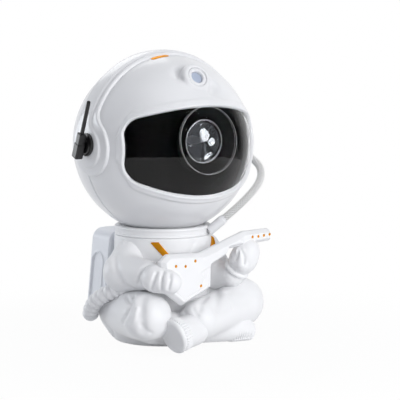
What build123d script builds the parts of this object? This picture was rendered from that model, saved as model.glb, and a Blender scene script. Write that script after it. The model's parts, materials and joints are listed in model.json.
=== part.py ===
from build123d import *
import math
import os

# Star and nebula projector shaped as a seated astronaut with a guitar.
# Millimetres, +Z up, the face looks along -Y, +X is the astronaut's own left.
# The origin is on the floor, under the middle of the neck.

os.makedirs("parts", exist_ok=True)

# ------------------------------------------------------------------ clearances
gap = 0.3  # between pieces that move past each other
fit = 0.1  # between fixed pieces that slot together
run = 0.06  # radial clearance of a turning fit

# ------------------------------------------------------------------ figure sizes
body_wall = 2.4
floor_gap = 1.0  # the moulded body stands this far above the floor on its pad
deck_z = 76.0  # top of the body, under the collar
torso_foot_r = 35.5
torso_belly_r = 39.0
torso_waist_r = 34.0
torso_chest_r = 37.0
torso_top_r = 35.0
belly_z = 20.0
waist_z = 50.0
chest_z = 66.0
split_y = 12.0  # front and rear halves of the body meet here

# Balls of the figure's limbs, as centre and radius.
right_hip = ((-26, 13, 24), 20.5)
right_knee = ((-43, -45, 27), 18.5)
right_shin_top = ((-38, -46, 20), 13.0)
right_ankle = ((33, -42, 11), 10.0)
left_hip = ((25, 12, 23), 19.5)
left_knee = ((54, -27, 28), 16.5)
left_shin_top = ((46, -33, 27), 16.0)
left_ankle = ((-3, -54, 23), 15.0)
right_shoulder = ((-33, -1, 67), 13.0)
right_elbow = ((-44, -14, 57), 14.5)
right_wrist = ((-40, -41, 58), 11.0)
left_shoulder = ((34, -6, 68), 12.5)
left_elbow = ((39, -21, 48), 11.5)
left_wrist = ((39, -37, 51), 9.5)
right_palm = ((-40, -52, 57), 10.5)
right_knuckles = ((-35, -63, 55), 8.5)
left_palm = ((42.5, -45, 62), 10.5)
left_knuckles = ((46, -47, 70), 9.0)
right_heel = ((35, -42, 11), 10.0)
right_toe = ((46, -43, 9), 8.5)
left_heel = ((-12, -58, 17), 11.8)
left_toe = ((-29, -63, 16), 12.6)
left_sole_x = -34.0
left_sole_facing = (-0.95, -0.1, -0.3)
cuff_over = 1.6  # a boot's or glove's cuff stands this far outside the sleeve

# ------------------------------------------------------------------ base sizes
base_rim = 2.5  # what is left of the torso's foot round the base opening
base_wall = 3.4
ledge_width = 5.5
ledge_depth = 3.0
ballast_inset = 2.5
ballast_depth = 5.0
pad_border = 1.7
pad_recess = 1.0  # the pad's depth inside the base plate
base_screw_r = 1.45
base_screw_head_r = 2.8
base_screw_head = 1.2
base_screw_length = 9.0
base_screw_inset = 3.2  # from the base opening to the screws
base_boss_shift = 1.0  # the bosses stand this far outside the screws' circle
base_boss_r = 3.6
base_boss_height = 6.0
ballast_edge = 0.6
pad_edge = 0.4

# ------------------------------------------------------------------ neck sizes
collar_height = 13.0
collar_wall = 5.0
collar_clear = 1.45
collar_floor = 2.0
collar_lip = 1.0
collar_lip_height = 5.0
collar_edge = 1.2
turn_gap = 0.15
cup_floor = 3.6
seat_gap = 0.25
pivot_r = 8.0
pivot_hub_wall = 4.0
pivot_hub_depth = 12.0
keeper_inner_r = 9.5
keeper_outer_r = 20.0
keeper_depth = 1.5
keeper_recess = 0.5
washer_r = 11.0
washer_depth = 1.2
neck_screw_r = 2.0
neck_screw_head_r = 3.6
neck_screw_head = 2.4
neck_screw_length = 9.0

# ------------------------------------------------------------------ helmet sizes
helmet_r = 68.0
helmet_wall = 2.4
visor_side_y = 37.08  # the visor's side edges lie this far ahead of the head's middle
visor_top = 30.9
visor_top_corner = 20.0
visor_bottom = 35.3
visor_bottom_corner = 20.0
visor_corner_r = 9.0
visor_wall = 1.9
visor_sink = 1.1  # the visor's face lies this far inside the helmet's skin
visor_flange = 3.0
visor_flange_wall = 1.4
brow_width = 6.0
brow_proud = 0.9
band_half_width = 11.0
band_proud = 1.7
band_ridge_half_width = 6.5
band_ridge_proud = 3.0
ear_y = -5.0
ear_pad_r = 21.0
ear_ridge_r = 14.0
ear_blend_r = 9.0
crest_length = 15.0
crest_width = 3.6
crest_proud = 0.5
crest_x = -11.0
crest_y = -13.6

# ------------------------------------------------------------------ antenna sizes
antenna_y = -6.5
antenna_rise = 2.5
antenna_lean = 23.0
antenna_base_r = 8.5
antenna_base_depth = 3.6
antenna_pin_r = 2.0
antenna_pin_length = 2.6
antenna_sink = 1.6  # the disc's foot lies this far inside the band's ridge
antenna_base_edge = 0.5
grip_width = 6.6
grip_length = 20.0
grip_depth = 6.4
grip_below = 10.5  # part of the grip below the pivot
grip_corner_r = 1.5
grip_edge = 0.8
mast_r = 1.4
mast_length = 27.0
mast_bury = 1.0  # the mast's root inside the grip
mast_tip_r = 0.8

# ------------------------------------------------------------------ laser pod sizes
pod_place = 47.6  # degrees above the horizon, seen from the head's centre
pod_proud = 2.43  # the pod's face stands this far outside the helmet's skin
pod_elevation = 29.0  # the way the laser points
pod_r = 11.5
pod_bore_r = 7.6
pod_back = 12.0
pod_rim = 1.5
bezel_bore_r = 4.6
bezel_depth = 4.0
bezel_sink = 0.4
bezel_edge = 0.6
window_depth = 1.5
grating_from = 12.5
grating_depth = 5.0
grating_r = 6.9
grating_film = 1.4
module_nose_r = 4.2
module_r = 5.0
module_nose_length = 4.0
module_bore_r = 1.4
module_length = 16.0
roller_r = 2.0
roller_gap = 0.06
roller_shaft_r = 0.8
roller_shaft = 3.0
micro_motor_r = 3.5
micro_motor_length = 9.0
bracket_depth = 2.0
bracket_at = 23.5
bracket_half_width = 13.0
bracket_foot = 2.0
bracket_foot_height = 8.0
bracket_margin = 2.0  # round the laser and its little motor

# ------------------------------------------------------------------ optics sizes
lens_rise = 5.0  # the optical axis runs this far above the head's centre
gear_module = 1.0
wheel_teeth = 40
pinion_teeth = 12
mesh_slack = 0.12
gear_width = 4.0
tooth_share = 0.40  # of the pitch, at the pitch circle
gear_addendum = 0.9  # in modules
gear_dedendum = 1.15
tooth_tip = 0.5  # the tooth's width at its tip and root, as a share of the pitch circle's
tooth_root = 1.45
wheel_front = 11.8  # distance of the wheel's front face ahead of the chassis
wheel_hub_r = 17.0
wheel_hub = 3.8
film_r = 15.0
film_depth = 1.0
film_lip = 1.0  # of the wheel, behind the film
barrel_r = 19.0
barrel_bore_r = 15.8
barrel_stop_r = 14.0
barrel_stop = 2.0
lens_gap = 2.0  # from the dome's tip to the visor
flange_r = 27.0
flange_depth = 3.0
flange_front = 22.0
post_r = 2.0
post_spread = 17.0
dome_r = 15.5
dome_height = 8.0
hood_wall = 1.2
hood_mouth_r = 25.0
hood_root_r = 16.2
hood_clear = 0.9
chassis_depth = 3.0
wire_window_inset = 22.3  # from the chassis's edge to the windows for the wires
wire_window_width = 14.0
wire_window_height = 24.0
wire_window_rise = 8.0
wire_window_corner_r = 4.0
tray_notch_side = 2.0  # room that the chassis leaves beside and over the magnet's tray
tray_notch_top = 4.0
led_board_r = 16.0
led_board_depth = 1.5
led_size = 3.4
led_height = 2.0
led_circle_r = 4.5
sink_half = 17.0
sink_base = 3.0
sink_depth = 15.0
fin_count = 7
fin_wall = 1.4
motor_r = 7.5
motor_front = 5.0
motor_length = 18.0
motor_shaft_r = 1.0
motor_shaft_depth = 3.0

# ------------------------------------------------------------------ head screws
head_screw_inset = 5.3  # from the chassis's edge to the screws
head_screw_r = 1.45
head_screw_head_r = 2.75
head_screw_head = 2.2
head_boss_r = 3.6
head_boss_floor = 5.0
head_screw_bite = 8.0
head_access_r = 3.4
cross_length = 3.6
cross_width = 0.7

# ------------------------------------------------------------------ rear electronics
board_y = 24.0
board_depth = 1.6
board_width = 60.0
board_height = 44.0
board_rise = 9.0
standoff_r = 2.2
standoff_inset = 4.0
# Blocks on the main board, as middle, width and height, seen from behind.
chips = (
    ((-6, 2), 12, 12),
    ((12, 10), 7, 5),
    ((-22, -10), 6, 4),
    ((-12, -14), 6, 4),
    ((20, -14), 6, 4),
)
chip_depth = 1.6
capacitor_places = ((22, 2), (22, 12))
capacitor_r = 3.2
capacitor_depth = 8.0
panel_sink = 3.2  # the panel's face lies this far inside the helmet's skin
panel_depth = 2.5
panel_r = 25.0
panel_drop = 4.0
panel_seat = 2.0
panel_edge = 0.5
button_r = 4.0
button_flange = 1.2
button_flange_depth = 1.2
button_pitch = 14.0
button_proud = 1.5
button_travel = 0.8
button_foot = 0.9
button_foot_r = 2.0
button_edge = 0.6
switch_size = 5.0
control_board_back = 7.5  # from the panel to the little board behind it
control_board_r = 21.0
control_post_r = 1.8
control_post_spread = 12.0
port_drop = 15.0
port_width = 9.0
port_height = 3.3
port_wall = 0.35
port_tongue_width = 6.3
port_tongue_depth = 0.6
ir_rise = 12.0
ir_r = 2.5

# ------------------------------------------------------------------ magnet sizes
magnet_r = 12.0
magnet_depth = 5.0
tray_wall = 2.9
tray_floor = 2.9

# ------------------------------------------------------------------ air hose
hose_d = 6.3
socket_wall = 1.5
upper_socket_root = (66.0, 6.0, -2.0)
lower_socket_root = (26.5, -27.5, -50.0)
hose_points = [
    (75.5, 0.0, -9.0),
    (79.5, -8.5, -15.0),
    (78.5, -20.0, -21.5),
    (69.5, -31.5, -29.5),
    (55.0, -39.0, -38.0),
    (41.0, -40.5, -47.5),
    (32.0, -35.5, -56.0),
]

# ------------------------------------------------------------------ pack, hose, guitar
pack_front_y = 31.0
pack_rear_y = 60.0
pack_foot_z = 14.0
pack_top_z = 82.0
pack_foot_half = 35.0
pack_top_half = 28.0
pack_corner_r = 8.0
pack_edge_r = 5.0
pack_wall = 2.2
pack_pad_proud = 1.6
pack_pad_length = 46.0
pack_pad_width = 13.0
suit_hose_r = 6.2
suit_hose_core_r = 5.2
suit_hose_ribs = 9
suit_hose_rib_share = 0.5  # of the pitch that a rib fills
suit_hose_ends = ((-50, 24, 19), (-42, -17, 45))
suit_hose_crest = (-53, 3, 37)
guitar_place = (-10, -55, 0)
guitar_yaw = 8.0
guitar_depth = 6.5
guitar_corner_r = 2.5
guitar_edge = 1.5
# The guitar's outline in its own plane, as distance along it and height above the floor.
guitar_outline = [
    (-31, 69),
    (-24, 74.5),
    (-8, 75.5),
    (12, 75.5),
    (49, 85),
    (79, 85),
    (81, 76),
    (53, 76),
    (34, 68),
    (18, 62),
    (17.5, 46),
    (-11, 35.5),
    (-25, 46),
]
body_studs = [(-18.8, 65.9), (-9.5, 64.9), (0.1, 67.9), (5.7, 48.9)]
headstock_studs = [(58.3, 80.4), (64.4, 80.3), (70.3, 80.5), (76.4, 80.8)]
stud_r = 1.2
stud_proud = 0.6
stripe_angle = 33.0
stripe_width = 8.5
stripe_length = 17.0
stripe_proud = 0.6
stripe_slant = 35.0
stripe_shift = 3.0  # towards the middle of the chest
stripe_drop = 1.0  # below the middle of the upper chest

# ------------------------------------------------------------------ worked out
cup_bottom_z = deck_z + collar_floor + turn_gap
head_z = cup_bottom_z + cup_floor + seat_gap + helmet_r
collar_top_z = deck_z + collar_height
collar_bore_r = math.sqrt(helmet_r**2 - (head_z - collar_top_z) ** 2) + collar_clear
collar_r = collar_bore_r + collar_wall
helmet_inner_r = helmet_r - helmet_wall
visor_inner_r = helmet_r - visor_sink - visor_wall
visor_half_width = math.sqrt(helmet_r**2 - visor_side_y**2)
pod_y = -(helmet_r + pod_proud) * math.cos(math.radians(pod_place))
pod_z = (helmet_r + pod_proud) * math.sin(math.radians(pod_place))
barrel_front = visor_inner_r - lens_gap - dome_height
head_centre = (0, 0, head_z)
lens_z = head_z + lens_rise
wheel_r = gear_module * wheel_teeth / 2
pinion_r = gear_module * pinion_teeth / 2
pinion_drop = wheel_r + pinion_r + mesh_slack
wheel_back = wheel_front - gear_width
barrel_back = wheel_front + gap
chassis_r = helmet_inner_r - gap
head_screw_circle_r = chassis_r - head_screw_inset
wire_window_x = chassis_r - wire_window_inset - wire_window_width / 2
panel_y = math.sqrt(helmet_r**2 - panel_r**2) - panel_sink - panel_depth
control_board_y = panel_y - control_board_back
base_opening_r = torso_foot_r - base_rim
ledge_r = base_opening_r - ledge_width
ballast_r = ledge_r - ballast_inset
pad_r = base_opening_r - gap - pad_border
base_screw_circle_r = base_opening_r - base_screw_inset
far = 2 * helmet_r  # longer than any cut has to reach


def facing(ahead, z=head_z, x=0):
    """A plane that looks along -Y, the given distance ahead of the head's centre."""
    return Plane(origin=(x, -ahead, z), x_dir=(1, 0, 0), z_dir=(0, -1, 0))


def along_pod(depth, offset=0):
    """A plane across the laser's axis, depth behind the pod's face, raised by offset."""
    tilt = math.radians(pod_elevation)
    out = Vector(0, -math.cos(tilt), math.sin(tilt))
    up = Vector(0, math.sin(tilt), math.cos(tilt))
    return Plane(
        origin=Vector(0, pod_y, head_z + pod_z) - out * depth + up * offset,
        x_dir=(1, 0, 0),
        z_dir=out,
    )


def end_face(piece, plane):
    """The piece's face that lies furthest along the plane's normal."""
    return piece.faces().sort_by(Axis(plane.origin, plane.z_dir))[-1]


def limb(start, end, inset=0.0):
    """A tapered capsule: two balls and the cone that touches both."""
    (start_at, start_r), (end_at, end_r) = start, end
    start_r, end_r = start_r - inset, end_r - inset
    axis = Vector(*end_at) - Vector(*start_at)
    length = axis.length
    lean = math.acos((start_r - end_r) / length)
    side = Plane(origin=start_at, x_dir=axis, z_dir=axis.cross(Vector(0.1, 0.2, 1)))
    middle = (math.pi + lean) / 2

    def on_start(angle):
        return (start_r * math.cos(angle), start_r * math.sin(angle))

    def on_end(angle):
        return (length + end_r * math.cos(angle), end_r * math.sin(angle))

    with BuildPart() as capsule:
        with BuildSketch(side):
            with BuildLine():
                ThreePointArc((-start_r, 0), on_start(middle), on_start(lean))
                Line(on_start(lean), on_end(lean))
                ThreePointArc(on_end(lean), on_end(lean / 2), (length + end_r, 0))
                Line((length + end_r, 0), (-start_r, 0))
            make_face()
        revolve(axis=Axis(start_at, axis))
    return capsule.part


def torso(inset=0.0):
    """The body of revolution between floor and neck, drawn inwards by inset."""
    top = deck_z - inset
    with BuildPart() as trunk:
        with BuildSketch(Plane.XZ):
            with BuildLine():
                Line((0, 0), (torso_foot_r - inset, 0))
                Spline(
                    (torso_foot_r - inset, 0),
                    (torso_belly_r - inset, belly_z),
                    (torso_waist_r - inset, waist_z),
                    (torso_chest_r - inset, chest_z),
                    (torso_top_r - inset, top),
                )
                Line((torso_top_r - inset, top), (0, top))
                Line((0, top), (0, 0))
            make_face()
        revolve(axis=Axis.Z)
    return trunk.part


def figure_core(inset=0.0):
    """The torso with both legs, drawn inwards by inset."""
    with BuildPart() as core:
        add(torso(inset))
        add(limb(right_hip, right_knee, inset))
        add(limb(right_shin_top, right_ankle, inset))
        add(limb(left_hip, left_knee, inset))
        add(limb(left_shin_top, left_ankle, inset))
    return core.part


def visor_outline(grow=0.0):
    """The visor's opening seen from the front, larger all round by grow."""
    width = visor_half_width
    with BuildSketch(facing(0)) as outline:
        with BuildLine():
            ThreePointArc((-width, visor_top_corner), (0, visor_top), (width, visor_top_corner))
            Line((width, visor_top_corner), (width, -visor_bottom_corner))
            ThreePointArc((width, -visor_bottom_corner), (0, -visor_bottom), (-width, -visor_bottom_corner))
            Line((-width, -visor_bottom_corner), (-width, visor_top_corner))
        make_face()
        fillet(outline.vertices(), visor_corner_r)
        if grow:
            offset(amount=grow)
    return outline.sketch


def band_outline(half_width, pad_r, blend_r):
    """The headband and its ear pad seen from the side."""
    with BuildSketch(Plane.YZ) as outline:
        with Locations((0, head_z + far / 2)):
            Rectangle(2 * half_width, far)
        with Locations((ear_y, head_z)):
            Circle(pad_r)
        inner_corners = outline.vertices().filter_by(
            lambda corner: corner.Z < head_z + pad_r and abs(corner.Y) < half_width + fit
        )
        fillet(inner_corners, blend_r)
    return outline.sketch


def gear_outline(teeth, tooth_first):
    """A spur gear's outline; its first tooth, or first gap, points along +Y of the sketch."""
    pitch_r = gear_module * teeth / 2
    tip_r = pitch_r + gear_module * gear_addendum
    root_r = pitch_r - gear_module * gear_dedendum
    step = 360 / teeth
    start = 90.0 if tooth_first else 90.0 + step / 2
    half = step * tooth_share / 2
    points = []
    for tooth in range(teeth):
        middle = start + tooth * step
        for angle, radius in (
            (-half * tooth_root, root_r),
            (-half * tooth_tip, tip_r),
            (half * tooth_tip, tip_r),
            (half * tooth_root, root_r),
        ):
            turned = math.radians(middle + angle)
            points.append((radius * math.cos(turned), radius * math.sin(turned)))
    with BuildSketch() as outline:
        with BuildLine():
            Polyline(*points, close=True)
        make_face()
    return outline.sketch


# ================================================================== helmet
with BuildPart() as brow_panel:
    extrude(to_extrude=visor_outline(brow_width), amount=far)
    with Locations(head_centre):
        Sphere(helmet_r + brow_proud, mode=Mode.INTERSECT)

with BuildPart() as pod_barrel:
    with BuildSketch(along_pod(0)):
        Circle(pod_r)
    extrude(amount=-pod_back)
    fillet(end_face(pod_barrel, along_pod(0)).edges(), pod_rim)

with BuildPart() as front_bosses:
    with BuildSketch(facing(0)):
        with PolarLocations(head_screw_circle_r, 4, start_angle=45):
            Circle(head_boss_r)
    extrude(amount=head_screw_circle_r)
    with Locations(head_centre):
        Sphere(helmet_r - helmet_wall / 2, mode=Mode.INTERSECT)

with BuildPart() as helmet_front_shell:
    with Locations(head_centre):
        Sphere(helmet_r)
    add(brow_panel.part)
    add(pod_barrel.part)
    with Locations(head_centre):
        Sphere(helmet_inner_r, mode=Mode.SUBTRACT)
    add(front_bosses.part)
    with BuildSketch(facing(0)):
        with PolarLocations(head_screw_circle_r, 4, start_angle=45):
            Circle(head_screw_r + fit / 2)
    extrude(amount=head_screw_bite + gap, mode=Mode.SUBTRACT)
    extrude(to_extrude=visor_outline(), amount=far, mode=Mode.SUBTRACT)
    with BuildSketch(along_pod(-far / 2)):
        Circle(pod_bore_r)
    extrude(amount=-far / 2 - pod_back, mode=Mode.SUBTRACT)
    split(bisect_by=Plane.XZ, keep=Keep.TOP)

with BuildPart() as helmet_rear_shell:
    with Locations(head_centre):
        Sphere(helmet_r)
        Sphere(helmet_inner_r, mode=Mode.SUBTRACT)
    with BuildSketch(facing(-panel_y + panel_seat, head_z - panel_drop)):
        Circle(panel_r + fit + helmet_wall)
    extrude(amount=-helmet_r)
    with BuildSketch(facing(-chassis_depth)):
        with PolarLocations(head_screw_circle_r, 4, start_angle=45):
            Circle(head_boss_r)
    extrude(amount=-head_screw_circle_r / 2)
    with Locations(head_centre):
        Sphere(helmet_r, mode=Mode.INTERSECT)
    with BuildSketch(facing(-chassis_depth)):
        with PolarLocations(head_screw_circle_r, 4, start_angle=45):
            Circle(head_screw_r + fit)
    extrude(amount=-head_boss_floor, mode=Mode.SUBTRACT)
    with BuildSketch(facing(-chassis_depth - head_boss_floor)):
        with PolarLocations(head_screw_circle_r, 4, start_angle=45):
            Circle(head_access_r)
    extrude(amount=-far, mode=Mode.SUBTRACT)
    with BuildSketch(facing(-panel_y, head_z - panel_drop)):
        Circle(panel_r + fit)
    extrude(amount=-far, mode=Mode.SUBTRACT)
    with BuildSketch(facing(-panel_y + panel_seat, head_z - panel_drop)):
        Circle(panel_r - panel_seat)
    extrude(amount=-far, mode=Mode.SUBTRACT)
    split(bisect_by=Plane.XZ, keep=Keep.BOTTOM)

with BuildPart() as visor:
    extrude(to_extrude=visor_outline(-fit), amount=far)
    with Locations(head_centre):
        Sphere(helmet_r - visor_sink, mode=Mode.INTERSECT)
        Sphere(helmet_r - visor_sink - visor_wall, mode=Mode.SUBTRACT)
with BuildPart() as visor_rim:
    extrude(to_extrude=visor_outline(visor_flange), amount=far)
    with Locations(head_centre):
        Sphere(helmet_inner_r - fit, mode=Mode.INTERSECT)
        Sphere(helmet_inner_r - fit - visor_flange_wall, mode=Mode.SUBTRACT)
with visor:
    add(visor_rim.part)

with BuildPart() as band_low:
    extrude(to_extrude=band_outline(band_half_width, ear_pad_r, ear_blend_r), amount=far, both=True)
    with Locations(head_centre):
        Sphere(helmet_r + band_proud, mode=Mode.INTERSECT)
with BuildPart() as headband:
    extrude(to_extrude=band_outline(band_ridge_half_width, ear_ridge_r, ear_blend_r), amount=far, both=True)
    with Locations(head_centre):
        Sphere(helmet_r + band_ridge_proud, mode=Mode.INTERSECT)
    add(band_low.part)
    with Locations(head_centre):
        Sphere(helmet_r, mode=Mode.SUBTRACT)

# The crest is a plain inlay on the helmet's top, just ahead of the band.
with BuildPart() as crest_inlay:
    with BuildSketch(Plane.XY.offset(head_z)):
        with Locations((crest_x, crest_y)):
            SlotOverall(crest_length, crest_width)
    extrude(amount=far)
    with Locations(head_centre):
        Sphere(helmet_r + crest_proud, mode=Mode.INTERSECT)
        Sphere(helmet_r, mode=Mode.SUBTRACT)

# ================================================================== antenna
# It turns on the disc in the astronaut's right ear pad.
antenna_seat_x = math.sqrt((helmet_r + band_ridge_proud) ** 2 - antenna_y**2) - antenna_sink
antenna_z = head_z + antenna_rise


def beside_ear(out):
    """A plane that faces away from the right ear, the given distance out from the middle."""
    return Plane(origin=(-out, antenna_y, antenna_z), x_dir=(0, -1, 0), z_dir=(-1, 0, 0))


with headband:
    with BuildSketch(beside_ear(antenna_seat_x)):
        Circle(antenna_base_r + fit)
    extrude(amount=far, mode=Mode.SUBTRACT)

with BuildPart() as antenna_base:
    with BuildSketch(beside_ear(antenna_seat_x)):
        Circle(antenna_base_r)
    extrude(amount=antenna_base_depth)
    fillet(antenna_base.faces().sort_by(Axis.X)[0].edges(), antenna_base_edge)
    with BuildSketch(beside_ear(antenna_seat_x + antenna_base_depth)):
        Circle(antenna_pin_r + run)
    extrude(amount=-antenna_pin_length - gap, mode=Mode.SUBTRACT)

grip_x = antenna_seat_x + antenna_base_depth + gap
lean = math.radians(antenna_lean)
grip_plane = Plane(
    origin=beside_ear(grip_x).origin, x_dir=(0, -math.cos(lean), -math.sin(lean)), z_dir=(-1, 0, 0)
)
with BuildPart() as antenna_mast:
    with BuildSketch(grip_plane):
        with Locations((0, grip_length / 2 - grip_below)):
            RectangleRounded(grip_width, grip_length, grip_corner_r)
    extrude(amount=grip_depth)
    fillet(antenna_mast.faces().sort_by(Axis.X)[0].edges(), grip_edge)
    with BuildSketch(beside_ear(grip_x)):
        Circle(antenna_pin_r)
    extrude(amount=-antenna_pin_length)
    mast_foot = Plane(
        origin=grip_plane.from_local_coords((0, grip_length - grip_below - mast_bury, grip_depth / 2)),
        z_dir=grip_plane.y_dir,
    )
    with BuildSketch(mast_foot):
        Circle(mast_r)
    extrude(amount=mast_length)
    fillet(end_face(antenna_mast, mast_foot).edges(), mast_tip_r)

# ================================================================== laser
bezel_r = pod_bore_r - fit
window_from = bezel_sink + bezel_depth
with BuildPart() as laser_bezel:
    with BuildSketch(along_pod(bezel_sink)):
        Circle(bezel_r)
        Circle(bezel_bore_r, mode=Mode.SUBTRACT)
    extrude(amount=-bezel_depth)
    chamfer(end_face(laser_bezel, along_pod(0)).edges(), bezel_edge)

with BuildPart() as laser_window:
    with BuildSketch(along_pod(window_from)):
        Circle(bezel_r)
    extrude(amount=-window_depth)
    with BuildSketch(along_pod(window_from)):
        Circle(bezel_bore_r - fit)
    extrude(amount=bezel_depth / 2)

module_from = grating_from + grating_film + gap
with BuildPart() as laser_module:
    with BuildSketch(along_pod(module_from)):
        Circle(module_nose_r)
        Circle(module_bore_r, mode=Mode.SUBTRACT)
    extrude(amount=-module_nose_length)
    with BuildSketch(along_pod(module_from + module_nose_length)):
        Circle(module_r)
    extrude(amount=-module_length + module_nose_length)

with BuildPart() as grating_wheel:
    with BuildSketch(along_pod(grating_from)):
        Circle(grating_r)
    extrude(amount=-grating_depth)
    with BuildSketch(along_pod(grating_from + grating_film)):
        Circle(module_nose_r + run)
    extrude(amount=grating_film - grating_depth, mode=Mode.SUBTRACT)

roller_rise = grating_r + roller_r + roller_gap
micro_motor_from = grating_from + grating_depth + gap
with BuildPart() as grating_roller:
    with BuildSketch(along_pod(grating_from, roller_rise)):
        Circle(roller_r)
    extrude(amount=-grating_depth)
    with BuildSketch(along_pod(grating_from + grating_depth, roller_rise)):
        Circle(roller_shaft_r)
    extrude(amount=-gap - roller_shaft)

with BuildPart() as grating_motor:
    with BuildSketch(along_pod(micro_motor_from, roller_rise)):
        Circle(micro_motor_r)
    extrude(amount=-micro_motor_length)
    with BuildSketch(along_pod(micro_motor_from, roller_rise)):
        Circle(roller_shaft_r + run)
    extrude(amount=-roller_shaft - gap, mode=Mode.SUBTRACT)

# The bracket holds the laser and its little motor, and its two feet stand on the chassis.
bracket_low = -module_r - bracket_margin
bracket_high = roller_rise + micro_motor_r + bracket_margin
with BuildPart() as laser_bracket:
    with BuildSketch(along_pod(bracket_at)):
        with Locations((0, (bracket_low + bracket_high) / 2)):
            Rectangle(2 * bracket_half_width, bracket_high - bracket_low)
        Circle(module_r + fit / 2, mode=Mode.SUBTRACT)
        with Locations((0, roller_rise)):
            Circle(micro_motor_r + fit / 2, mode=Mode.SUBTRACT)
    extrude(amount=-bracket_depth)
    with BuildSketch(along_pod(bracket_at + bracket_depth)):
        for side in (-1, 1):
            with Locations((side * (bracket_half_width - bracket_foot / 2), 0)):
                Rectangle(bracket_foot, bracket_foot_height)
    extrude(amount=-helmet_r / 2)
    split(bisect_by=Plane.XZ, keep=Keep.TOP)

# ================================================================== main optics
motor_z = lens_z - pinion_drop
with BuildPart() as chassis:
    with BuildSketch(facing(0)):
        Circle(chassis_r)
        with PolarLocations(head_screw_circle_r, 4, start_angle=45):
            Circle(head_screw_r + fit, mode=Mode.SUBTRACT)
        with Locations((0, lens_rise - pinion_drop)):
            Circle(motor_r + fit, mode=Mode.SUBTRACT)
        with Locations((0, -chassis_r)):
            Rectangle(
                2 * (magnet_r + tray_wall + tray_notch_side),
                2 * (tray_floor + magnet_depth + tray_notch_top),
                mode=Mode.SUBTRACT,
            )
        with Locations((-wire_window_x, wire_window_rise), (wire_window_x, wire_window_rise)):
            RectangleRounded(
                wire_window_width, wire_window_height, wire_window_corner_r, mode=Mode.SUBTRACT
            )
    extrude(amount=-chassis_depth)
    with BuildSketch(facing(0, lens_z)):
        with GridLocations(2 * post_spread, 2 * post_spread, 2, 2):
            Circle(post_r)
    extrude(amount=flange_front - flange_depth)
    with BuildSketch(facing(-chassis_depth, head_z + board_rise)):
        with GridLocations(board_width - 2 * standoff_inset, board_height - 2 * standoff_inset, 2, 2):
            Circle(standoff_r)
    extrude(amount=chassis_depth - board_y)

with BuildPart() as led_board:
    with BuildSketch(facing(0, lens_z)):
        Circle(led_board_r)
    extrude(amount=led_board_depth)

with BuildPart() as led_emitters:
    with BuildSketch(facing(led_board_depth, lens_z)):
        with PolarLocations(led_circle_r, 3, start_angle=90):
            Rectangle(led_size, led_size)
    extrude(amount=led_height)

with BuildPart() as heat_sink:
    with BuildSketch(facing(-chassis_depth, lens_z)):
        Rectangle(2 * sink_half, 2 * sink_half)
        with Locations((0, -pinion_drop)):
            Circle(motor_r + gap, mode=Mode.SUBTRACT)
    extrude(amount=-sink_base)
    with BuildSketch(facing(-chassis_depth - sink_base, lens_z)):
        with GridLocations(2 * (sink_half - fin_wall / 2) / (fin_count - 1), 0, fin_count, 1):
            Rectangle(fin_wall, 2 * sink_half)
        with Locations((0, -pinion_drop)):
            Circle(motor_r + gap, mode=Mode.SUBTRACT)
    extrude(amount=sink_base - sink_depth)

with BuildPart() as nebula_wheel:
    with BuildSketch(facing(wheel_back, lens_z)):
        add(gear_outline(wheel_teeth, tooth_first=False).rotate(Axis.Z, 180))
        Circle(film_r - film_lip, mode=Mode.SUBTRACT)
    extrude(amount=gear_width)
    with BuildSketch(facing(wheel_front, lens_z)):
        Circle(wheel_hub_r)
        Circle(film_r + fit, mode=Mode.SUBTRACT)
    extrude(amount=wheel_hub)

with BuildPart() as nebula_disc:
    with BuildSketch(facing(wheel_front, lens_z)):
        Circle(film_r)
    extrude(amount=film_depth)

with BuildPart() as lens_barrel:
    with BuildSketch(facing(barrel_back, lens_z)):
        Circle(barrel_r)
    extrude(amount=barrel_front - barrel_back)
    with BuildSketch(facing(flange_front - flange_depth, lens_z)):
        Circle(flange_r)
    extrude(amount=flange_depth)
    with BuildSketch(facing(barrel_back, lens_z)):
        Circle(wheel_hub_r + run)
    extrude(amount=wheel_hub, mode=Mode.SUBTRACT)
    with BuildSketch(facing(barrel_back, lens_z)):
        Circle(barrel_bore_r)
    extrude(amount=barrel_front - barrel_back - barrel_stop, mode=Mode.SUBTRACT)
    with BuildSketch(facing(barrel_back, lens_z)):
        Circle(barrel_stop_r)
    extrude(amount=barrel_front, mode=Mode.SUBTRACT)

dome_ball_r = (dome_r**2 + dome_height**2) / (2 * dome_height)
with BuildPart() as dome_lens:
    with BuildSketch(facing(barrel_front, lens_z)):
        Circle(dome_r)
    extrude(amount=dome_height)
    with Locations((0, dome_ball_r - dome_height - barrel_front, lens_z)):
        Sphere(dome_ball_r, mode=Mode.INTERSECT)

hood_front = math.sqrt((visor_inner_r - hood_clear) ** 2 - (hood_mouth_r + lens_rise) ** 2)
with BuildPart() as lens_hood:
    with BuildSketch(Plane(origin=(0, 0, lens_z), x_dir=(0, -1, 0), z_dir=(-1, 0, 0))):
        with BuildLine():
            Polyline(
                (barrel_front, hood_root_r),
                (barrel_front + hood_wall, hood_root_r),
                (hood_front, hood_mouth_r),
                (hood_front - hood_wall, hood_mouth_r),
                close=True,
            )
        make_face()
    revolve(axis=Axis((0, 0, lens_z), (0, -1, 0)))

with BuildPart() as nebula_motor:
    with BuildSketch(facing(motor_front, motor_z)):
        Circle(motor_r)
    extrude(amount=-motor_length)
    with BuildSketch(facing(motor_front, motor_z)):
        Circle(motor_shaft_r + run)
    extrude(amount=-motor_shaft_depth - gap, mode=Mode.SUBTRACT)

with BuildPart() as motor_pinion:
    with BuildSketch(facing(wheel_back, motor_z)):
        add(gear_outline(pinion_teeth, tooth_first=True))
    extrude(amount=gear_width)
    with BuildSketch(facing(motor_front - motor_shaft_depth, motor_z)):
        Circle(motor_shaft_r)
    extrude(amount=wheel_back + motor_shaft_depth - motor_front)

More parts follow.
